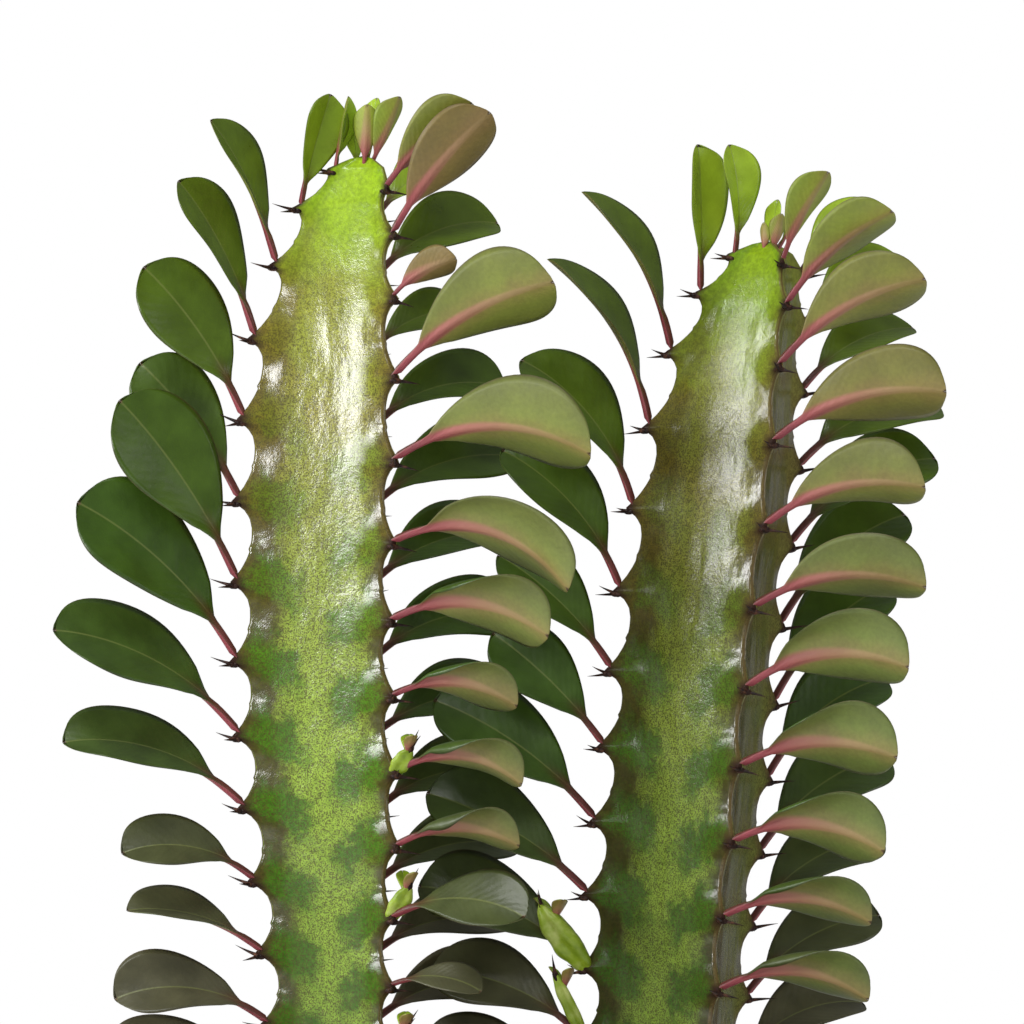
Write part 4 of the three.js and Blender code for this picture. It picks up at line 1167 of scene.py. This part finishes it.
def leaf_tree():
    """Leaves from points. A flat sheet of rows and columns is laid on every point and then bent
    along an even arc, folded, rolled and waved by the point's own values."""
    tree, size = geometry_tree("euphorbia leaves", {
        "Rows": "Int", "Columns": "Int", "Petiole share": "Float", "Petiole radius": "Float",
        "Midrib end radius": "Float", "Thickness": "Float", "Half width to length": "Float",
        "Rise to widest": "Float", "Fall to apex": "Float", "Curled widening": "Float",
        "Curl start": "Float", "Curl tightness": "Float"})

    # the sheet, with rows crowded at the apex and columns at the midrib
    sheet = add(tree, "GeometryNodeMeshGrid", [1.0, 2.0, size["Rows"], size["Columns"]])
    place = add(tree, "GeometryNodeInputPosition")
    flat_x, flat_y = (add(tree, "ShaderNodeSeparateXYZ", [place], axis) for axis in (0, 1))
    from_apex = add(tree, MATHS, [0.5, flat_x], operation="SUBTRACT")
    from_apex = add(tree, MATHS, [from_apex, ROW_CROWDING], operation="POWER")
    along = add(tree, MATHS, [1.0, from_apex], operation="SUBTRACT")
    outer = add(tree, MATHS, [flat_y], operation="ABSOLUTE")
    outer = add(tree, MATHS, [outer, COLUMN_CROWDING], operation="POWER")
    flat_side = add(tree, MATHS, [flat_y], operation="SIGN")
    across = add(tree, MATHS, [outer, flat_side], operation="MULTIPLY")
    for name, field in (("along", along), ("across", across)):
        sheet = add(tree, "GeometryNodeStoreNamedAttribute", [sheet, True, name, field])
    upper, lower = (add(tree, "GeometryNodeStoreNamedAttribute", [sheet, True, "under", side],
                        domain="FACE") for side in (0.0, 1.0))
    lower = add(tree, "GeometryNodeFlipFaces", [lower])
    blade = add(tree, "GeometryNodeJoinGeometry", [[upper, lower]])
    origin = add(tree, "GeometryNodeInputPosition")
    points = add(tree, "GeometryNodeStoreNamedAttribute",
                 [size["Geometry"], True, "root", origin], data_type="FLOAT_VECTOR")
    leaves = add(tree, "GeometryNodeInstanceOnPoints", {"Points": points, "Instance": blade})
    leaves = add(tree, "GeometryNodeRealizeInstances", [leaves])
    root = add(tree, "GeometryNodeInputNamedAttribute", ["root"], data_type="FLOAT_VECTOR")
    read = {name: add(tree, "GeometryNodeInputNamedAttribute", [name]) for name in (
        "along", "across", "under", "heading", "foot", "bend", "length", "turn", "fold",
        "rolled", "wave")}

    # Each step's name, its rule and its terms. A rule is the operation of a maths node or the
    # manner of a map range, and a term is a number or an earlier value's name.
    shortest, longest, thinnest = STALK_GROWTH
    steps = (
        # the midrib: an even arc from the angle of the foot to the angle of the tip
        ("angle", "MULTIPLY_ADD", "along", "bend", "foot"),
        ("arc", "DIVIDE", "length", "bend"),
        ("angle sine", "SINE", "angle"),
        ("angle cosine", "COSINE", "angle"),
        ("foot sine", "SINE", "foot"),
        ("foot cosine", "COSINE", "foot"),
        ("ahead", "SUBTRACT", "angle sine", "foot sine"),
        ("ahead", "MULTIPLY", "arc", "ahead"),
        ("rise", "SUBTRACT", "foot cosine", "angle cosine"),
        ("rise", "MULTIPLY", "arc", "rise"),
        # the outline: a narrow stalk, then the blade with its round end
        ("share", "LINEAR", "along", "Petiole share", 1.0),
        ("left", "SUBTRACT", 1.0, "share"),
        ("rising", "POWER", "share", "Rise to widest"),
        ("falling", "POWER", "left", "Fall to apex"),
        ("outline", "MULTIPLY", "rising", "falling"),
        ("blade half", "MULTIPLY", "outline", "length"),
        ("blade half", "MULTIPLY", "blade half", "Half width to length"),
        ("growth", "LINEAR", "length", shortest * MM, longest * MM, thinnest, 1.0),
        ("stalk radius", "MULTIPLY", "Petiole radius", "growth"),
        ("stalk half", "MULTIPLY", "stalk radius", "falling"),
        ("half", "SMOOTH_MAX", "blade half", "stalk half", STALK_JOIN * MM),
        # the fold of both halves
        ("opening", "SMOOTHSTEP", "share", 0.0, OPENING),
        ("lift", "MULTIPLY", "fold", "opening"),
        ("lift sine", "SINE", "lift"),
        ("lift cosine", "COSINE", "lift"),
        ("distance", "ABSOLUTE", "across"),
        ("side", "SIGN", "across"),
        ("square", "MULTIPLY", "distance", "distance"),
        # one half is wider and its margin curls back, towards the lower side
        ("in blade", "POWER", "share", CURL_EARLY),
        ("in blade", "MULTIPLY", "in blade", math.pi),
        ("in blade", "SINE", "in blade"),
        ("curl", "MULTIPLY", "side", "rolled"),
        ("curl", "MULTIPLY", "curl", "in blade"),
        ("curl", "MAXIMUM", "curl", LEAST_CURL),
        ("wider", "MULTIPLY_ADD", "curl", "Curled widening", 1.0),
        ("out", "MULTIPLY", "distance", "wider"),
        ("beyond", "SUBTRACT", "out", "Curl start"),
        ("beyond", "MAXIMUM", "beyond", 0.0),
        ("tightness", "MULTIPLY", "curl", "Curl tightness"),
        ("curled", "MULTIPLY", "beyond", "tightness"),
        ("curled out", "SINE", "curled"),
        ("curled out", "DIVIDE", "curled out", "tightness"),
        ("out", "SUBTRACT", "out", "beyond"),
        ("out", "ADD", "out", "curled out"),
        ("curled down", "COSINE", "curled"),
        ("curled down", "SUBTRACT", "curled down", 1.0),
        ("curled down", "DIVIDE", "curled down", "tightness"),
        ("reach", "MULTIPLY", "out", "lift cosine"),
        ("inward", "MULTIPLY", "curled down", "lift sine"),
        ("reach", "SUBTRACT", "reach", "inward"),
        ("height", "MULTIPLY", "out", "lift sine"),
        ("height", "MULTIPLY_ADD", "curled down", "lift cosine", "height"),
        ("facing", "SUBTRACT", "lift", "curled"),
        # a shallow cup across each half, and a slow wave along its margin
        ("cup", "SUBTRACT", "square", "distance"),
        ("cup", "MULTIPLY", "cup", "opening"),
        ("height", "MULTIPLY_ADD", "cup", CUP, "height"),
        ("swing", "MULTIPLY_ADD", "share", WAVE_TURNS, "side"),
        ("swing", "MULTIPLY_ADD", "wave", WAVE_STRAY, "swing"),
        ("swing", "SINE", "swing"),
        ("swing", "MULTIPLY", "swing", "square"),
        ("height", "MULTIPLY_ADD", "swing", WAVE, "height"),
        ("height", "MULTIPLY", "height", "half"),
        # the thickness: a thin lens, and a round cord that thins from the stalk to the apex
        ("edge", "SUBTRACT", 1.0, "square"),
        ("edge", "MAXIMUM", "edge", 0.0),
        ("edge", "SQRT", "edge"),
        ("lens", "MULTIPLY", "Thickness", "edge"),
        ("lens", "MULTIPLY", "lens", 0.5),
        ("thinning", "POWER", "share", CORD_FADE),
        ("cord", "LINEAR", "thinning", 0.0, 1.0, "stalk radius", "Midrib end radius"),
        ("from midrib", "MULTIPLY", "distance", "half"),
        ("roundness", "DIVIDE", "from midrib", "cord"),
        ("roundness", "DIVIDE", "roundness", CORD_WIDTH),
        ("roundness", "POWER", "roundness", 2.0),
        ("roundness", "SUBTRACT", 1.0, "roundness"),
        ("roundness", "MAXIMUM", "roundness", 0.0),
        ("roundness", "SQRT", "roundness"),
        ("cord", "MULTIPLY", "cord", "roundness"),
        ("cord", "MULTIPLY", "cord", "edge"),
        ("on top", "LINEAR", "opening", 0.0, 1.0, STALK_TOP, 0.0),
        ("on top", "MULTIPLY", "cord", "on top"),
        ("apex", "POWER", "share", BLUNT_APEX),
        ("ends", "LINEAR", "along", 0.0, STALK_END),
        ("ends", "SUBTRACT", "ends", "apex"),
        ("ends", "MAXIMUM", "ends", 0.0),
        ("above", "MAXIMUM", "lens", "on top"),
        ("above", "MULTIPLY", "above", "ends"),
        ("beneath", "MAXIMUM", "lens", "cord"),
        ("beneath", "MULTIPLY", "beneath", "ends"),
        ("beneath", "MULTIPLY", "beneath", -1.0),
        ("step", "LINEAR", "under", 0.0, 1.0, "above", "beneath"),
        ("step aside", "SINE", "facing"),
        ("step aside", "MULTIPLY", "step", "step aside"),
        ("step up", "COSINE", "facing"),
        ("step up", "MULTIPLY", "step", "step up"),
        ("reach", "MULTIPLY", "reach", "half"),
        ("reach", "SUBTRACT", "reach", "step aside"),
        ("reach", "MULTIPLY", "reach", "side"),
        ("height", "ADD", "height", "step up"),
        # the two lobes of the round end stand a little past the tip of the midrib
        ("late", "SMOOTHSTEP", "share", LOBE_START, 1.0),
        ("lobes", "SUBTRACT", "distance", "square"),
        ("lobes", "MULTIPLY", "lobes", "late"),
        ("lobes", "MULTIPLY", "lobes", LOBES * MM),
        # the turn about the midrib grows from nothing at the foot
        ("turned by", "MULTIPLY", "Petiole share", 2.0),
        ("turned", "MULTIPLY", "turn", -1.0),
        ("turned", "LINEAR", "along", 0.0, "turned by", 0.0, "turned"),
        ("raised", "MULTIPLY", "angle", -1.0),
    )
    value = {**size, **read}
    for name, rule, *terms in steps:
        terms = [value.get(term, term) for term in terms]
        if rule in ("LINEAR", "SMOOTHSTEP"):
            value[name] = add(tree, "ShaderNodeMapRange", terms, interpolation_type=rule)
        else:
            value[name] = add(tree, MATHS, terms, operation=rule)

    # the finished section is turned about the midrib, raised to its angle and headed outwards
    midrib = add(tree, "ShaderNodeCombineXYZ", [value["ahead"], 0.0, value["rise"]])
    midrib = add(tree, "ShaderNodeVectorRotate", {"Vector": midrib, "Angle": read["heading"]},
                 rotation_type="Z_AXIS")
    midrib = add(tree, "ShaderNodeVectorMath", [midrib, root])
    section = add(tree, "ShaderNodeCombineXYZ", [value["lobes"], value["reach"], value["height"]])
    pose = add(tree, "ShaderNodeCombineXYZ", [value["turned"], value["raised"], read["heading"]])
    section = add(tree, "ShaderNodeVectorRotate", {"Vector": section, "Rotation": pose},
                  rotation_type="EULER_XYZ")
    final = add(tree, "ShaderNodeVectorMath", [midrib, section])
    leaves = add(tree, "GeometryNodeSetPosition", {"Geometry": leaves, "Position": final})
    leaves = add(tree, "GeometryNodeStoreNamedAttribute",
                 [leaves, True, "from_midrib", value["from midrib"]])
    leaves = add(tree, "GeometryNodeMergeByDistance",
                 {"Geometry": leaves, "Distance": SEAM * MM})
    leaves = add(tree, "GeometryNodeSetShadeSmooth", [leaves])
    return end_tree(tree, leaves, size["Material"])


def leaf_cuticle():
    """A fleshy leaf under a smooth cuticle. The upper side is deep green and glossy, the lower
    one pale, matt and flushed pink towards a crimson midrib that fades to the apex."""
    material, tree, shader = finish_of("euphorbia leaf, waxy cuticle")
    place = add(tree, "ShaderNodeTexCoord", output=3)
    read = {name: add(tree, "ShaderNodeAttribute", output=2, attribute_name=name) for name in (
        "along", "across", "under", "age", "bronze", "tint", "from_midrib")}
    cloud = add(tree, "ShaderNodeTexNoise", {"Vector": place, "Scale": 110.0, "Detail": 4.0})
    fine = add(tree, "ShaderNodeTexNoise", {"Vector": place, "Scale": 900.0, "Detail": 3.0})
    distance = add(tree, MATHS, [read["across"]], operation="ABSOLUTE")
    strayed = add(tree, MATHS, [read["tint"], 0.07, read["age"]], operation="MULTIPLY_ADD")
    flush = add(tree, MATHS, [read["from_midrib"], 1 / (7 * MM)], operation="MULTIPLY")
    flush = add(tree, MATHS, [cloud, 0.9, flush], operation="MULTIPLY_ADD")
    cord_edge = add(tree, "ShaderNodeMapRange", [read["along"], 0.15, 1.0, 1.6 * MM, 0.5 * MM])
    pink = add(tree, MATHS, [read["from_midrib"], cord_edge], operation="DIVIDE")

    # each share: what it is read from, the span of that, and the share at both ends of the span
    share = {}
    straight = {
        "upper tone": (cloud, 0.35, 0.7, 0.82, 1.22),
        "lower tone": (cloud, 0.35, 0.7, 0.88, 1.1),
        "edge tone": (distance, 0.3, 1.0, 1.06, 0.72),
        "speck": (fine, 0.35, 0.65, 0.93, 1.06),
        "cord strength": (read["along"], 0.3, 0.95, 0.95, 0.5),
        "foot width": (read["from_midrib"], 0.6 * MM, 2.6 * MM, 0.85, 0.0),
        "stalk": (read["along"], 0.13, 0.24, 1.0, 0.0),
        "stalk tone": (cloud, 0.3, 0.7, 0.75, 1.25),
        "rim": (distance, 0.965, 1.0, 0.0, 0.6),
        "point": (read["along"], 0.988, 0.998, 0.0, 1.0),
        "point width": (read["from_midrib"], 0.9 * MM, 0.4 * MM, 0.0, 1.0),
    }
    eased = {
        "flush": (flush, 0.3, 1.35, 0.45, 0.0),
        "pink": (pink, 0.6, 1.8, 1.0, 0.0),
        "line": (read["from_midrib"], 0.1 * MM, 0.5 * MM, 0.4, 0.0),
        "foot": (read["along"], 0.17, 0.42, 1.0, 0.0),
    }
    for manner, rows in (("LINEAR", straight), ("SMOOTHSTEP", eased)):
        for name, row in rows.items():
            share[name] = add(tree, "ShaderNodeMapRange", row, interpolation_type=manner)

    # both sides by age, a little different on each leaf, and the crimson cord of the midrib
    upper = add(tree, "ShaderNodeValToRGB", [strayed], stops=[
        (0.06, "#9fbc2e"), (0.13, "#84a01c"), (0.2, "#546a10"), (0.38, "#425a0a"),
        (0.62, "#38540f"), (0.76, "#3e501c"), (0.86, "#46492a"), (1.0, "#504d37")])
    lower = add(tree, "ShaderNodeValToRGB", [strayed], stops=[
        (0.05, "#8fa82a"), (0.2, "#7a862a"), (0.45, "#6f7d34"), (0.75, "#62712f"),
        (1.0, "#58652f")])
    cord_colour = add(tree, "ShaderNodeValToRGB", [read["along"]], stops=[
        (0.1, "#85323c"), (0.25, "#9a464b"), (0.45, "#a8665b"), (0.7, "#ab8662"),
        (1.0, "#8d7a45")])

    # on the upper side the midrib is a fine paler line, red brown only at its foot
    upper = add(tree, "ShaderNodeVectorMath", {0: upper, "Scale": share["upper tone"]},
                operation="SCALE")
    foot = add(tree, MATHS, [share["foot"], share["foot width"]], operation="MULTIPLY")
    for part, layer in ((share["line"], "#7c8446"), (foot, "#53291f")):
        upper = add(tree, "ShaderNodeMix",
                    {"Factor_Float": part, "A_Color": upper, "B_Color": linear(layer)}, 2,
                    data_type="RGBA")
    # the lower side is flushed, and pink beside the cord, which fades towards the apex
    lower = add(tree, "ShaderNodeVectorMath", {0: lower, "Scale": share["edge tone"]},
                operation="SCALE")
    for part, layer in ((read["bronze"], "#75592f"), (share["flush"], "#9b774a")):
        lower = add(tree, "ShaderNodeMix",
                    {"Factor_Float": part, "A_Color": lower, "B_Color": linear(layer)}, 2,
                    data_type="RGBA")
    for part in (share["speck"], share["lower tone"]):
        lower = add(tree, "ShaderNodeVectorMath", {0: lower, "Scale": part}, operation="SCALE")
    pink = add(tree, MATHS, [share["pink"], share["cord strength"]], operation="MULTIPLY")
    lower = add(tree, "ShaderNodeMix",
                {"Factor_Float": pink, "A_Color": lower, "B_Color": cord_colour}, 2,
                data_type="RGBA")
    # the stalk is crimson beneath and a darker red brown on top
    stalk = add(tree, "ShaderNodeMix",
                {"Factor_Float": read["under"], "A_Color": linear("#5f2c27"),
                 "B_Color": linear("#8a3840")}, 2, data_type="RGBA")
    stalk = add(tree, "ShaderNodeVectorMath", {0: stalk, "Scale": share["stalk tone"]},
                operation="SCALE")
    # a fine dry edge, and a brown point at the end of the midrib
    point = add(tree, MATHS, [share["point"], share["point width"]], operation="MULTIPLY")
    dry = add(tree, MATHS, [share["rim"], point], operation="MAXIMUM")
    skin = upper
    for part, layer in ((read["under"], lower), (share["stalk"], stalk), (dry, linear("#5e4a30"))):
        skin = add(tree, "ShaderNodeMix",
                   {"Factor_Float": part, "A_Color": skin, "B_Color": layer}, 2,
                   data_type="RGBA")

    shine = add(tree, "ShaderNodeMapRange", {0: read["under"], 3: 0.2, 4: 0.42})
    shine = add(tree, MATHS, [read["age"], 0.16, shine], operation="MULTIPLY_ADD")
    shine = add(tree, MATHS, [cloud, 0.14, shine], operation="MULTIPLY_ADD")
    # side veins leave the midrib every 3 mm or so and bend towards the apex
    vein_place = add(tree, MATHS, [distance, -0.22, read["along"]], operation="MULTIPLY_ADD")
    veins = add(tree, MATHS, [vein_place, 95.0], operation="MULTIPLY")
    veins = add(tree, MATHS, [cloud, 5.0, veins], operation="MULTIPLY_ADD")
    veins = add(tree, MATHS, [veins], operation="SINE")
    relief = add(tree, MATHS, [fine, 0.12, cloud], operation="MULTIPLY_ADD")
    relief = add(tree, MATHS, [veins, 0.03, relief], operation="MULTIPLY_ADD")
    bump = add(tree, "ShaderNodeBump", {"Strength": 0.4, "Distance": 0.8 * MM,
                                        "Height": relief})
    feed(tree, shader, {"Base Color": skin, "Roughness": shine, "Specular IOR Level": 0.6,
                        "Normal": bump})
    return material


leaves = leaf_tree()
cuticle = leaf_cuticle()
crest = RISE_TO_WIDEST / (RISE_TO_WIDEST + FALL_TO_APEX)
widest = crest ** RISE_TO_WIDEST * (1 - crest) ** FALL_TO_APEX
for name, stem in STEMS.items():
    source = pointed_source("leaf_points", leaf_rows(name, stem), LEAF_POINT_VALUES)
    piece = grow(name + "_leaves", leaves, source, {
        "Rows": LEAF_ROWS,
        "Columns": LEAF_COLUMNS,
        "Petiole share": PETIOLE_SHARE,
        "Petiole radius": PETIOLE_RADIUS * MM,
        "Midrib end radius": MIDRIB_END_RADIUS * MM,
        "Thickness": BLADE_THICKNESS * MM,
        "Half width to length": WIDTH_TO_LENGTH / 2 / widest,
        "Rise to widest": RISE_TO_WIDEST,
        "Fall to apex": FALL_TO_APEX,
        "Curled widening": CURLED_WIDENING,
        "Curl start": CURL_START,
        "Curl tightness": CURL_TIGHTNESS,
        "Material": cuticle,
    })
    settle(piece, "plant", name)


# ---------------------------------------------------------------- floor, light and camera
# A plain pale studio: a round white floor that fades out at its edge, two soft lights to the
# left, one high above them, a weaker one to the right and a long lens at the stems' height.

FLOOR_RADIUS = 1900
FLOOR_SIDES = 96
FLOOR_LEVEL = -0.2
FLOOR_FADE = (0.35, 0.98)  # shares of its radius between which it fades out
# How bright the white room is as a light, in the gloss of the plant and to the eye.
ROOM_LIGHT = 0.52
MIRRORED_LIGHT = 0.15
SEEN_LIGHT = 1.0
FRAME_WIDTH = 276.5  # of the picture, at the stems
FRAME_CENTRE_X = 1.9
FRAME_CENTRE_Z = 343.2
CAMERA_DISTANCE = 2500
SENSOR_WIDTH = 36
FAR_LIMIT = 50  # metres


def floor_surface():
    """Matt white paper."""
    material, tree, shader = finish_of("matt white studio paper")
    place = add(tree, "ShaderNodeTexCoord", output=3)
    fibre = add(tree, "ShaderNodeTexNoise", {"Vector": place, "Scale": 260.0, "Detail": 3.0})
    white = add(tree, "ShaderNodeValToRGB", [fibre], stops=[(0.3, "#ececec"), (0.7, "#f1f1f1")])
    distance = add(tree, "ShaderNodeVectorMath", [place], 1, operation="LENGTH")
    start, end = (FLOOR_RADIUS * share * MM for share in FLOOR_FADE)
    fade = add(tree, "ShaderNodeMapRange", [distance, start, end, 1.0, 0.0],
               interpolation_type="SMOOTHSTEP")
    feed(tree, shader, {"Base Color": white, "Roughness": 0.9, "Alpha": fade})
    return material


ring = [(x, y, FLOOR_LEVEL) for x, y in circle(FLOOR_RADIUS, FLOOR_SIDES)]
floor = plain_object("studio_floor", ring, [tuple(range(FLOOR_SIDES))])
floor.data.materials.append(floor_surface())

world = bpy.data.worlds.new("white studio")
bpy.context.scene.world = world
world.use_nodes = True
sky = world.node_tree
sky.nodes.clear()
soft, dim, white = (add(sky, "ShaderNodeBackground", [(1, 1, 1, 1), strength])
                    for strength in (ROOM_LIGHT, MIRRORED_LIGHT, SEEN_LIGHT))
seen = add(sky, "ShaderNodeLightPath")
mirrored = add(sky, "ShaderNodeLightPath", output=3)
shown = add(sky, "ShaderNodeMixShader", [mirrored, soft, dim])
shown = add(sky, "ShaderNodeMixShader", [seen, shown, white])
add(sky, "ShaderNodeOutputWorld", [shown])

# Each light's bearing, height, distance, width, height of its face and power in watts.
LIGHTS = {
    "low_left_softbox": (-54, 540, 1300, 380, 290, 6.5),
    "high_left_softbox": (-87, 750, 1300, 230, 540, 6.4),
    "right_softbox": (72, 520, 1500, 600, 1200, 4),
    "top_softbox": (-28, 1780, 950, 700, 600, 14),
}
target = np.array([0, 0, 320])  # what they are turned towards
for name, (bearing, height, distance, width, tall, power) in LIGHTS.items():
    lamp = bpy.data.lights.new(name, "AREA")
    lamp.shape = "RECTANGLE"
    lamp.size, lamp.size_y = width * MM, tall * MM
    lamp.energy = power
    holder = bpy.data.objects.new(name, lamp)
    bpy.context.scene.collection.objects.link(holder)
    place = outward(bearing) * distance + np.array([0, 0, height])
    holder.location = Vector(place * MM)
    holder.rotation_euler = Vector((target - place) * MM).to_track_quat("-Z", "Y").to_euler()

camera = bpy.data.objects.new("camera", bpy.data.cameras.new("camera"))
bpy.context.scene.collection.objects.link(camera)
camera.location = (FRAME_CENTRE_X * MM, -CAMERA_DISTANCE * MM, FRAME_CENTRE_Z * MM)
camera.rotation_euler = (math.pi / 2, 0, 0)
camera.data.sensor_width = SENSOR_WIDTH
camera.data.lens = SENSOR_WIDTH * CAMERA_DISTANCE / FRAME_WIDTH
camera.data.clip_end = FAR_LIMIT
bpy.context.scene.camera = camera
bpy.context.scene.view_settings.view_transform = "Standard"
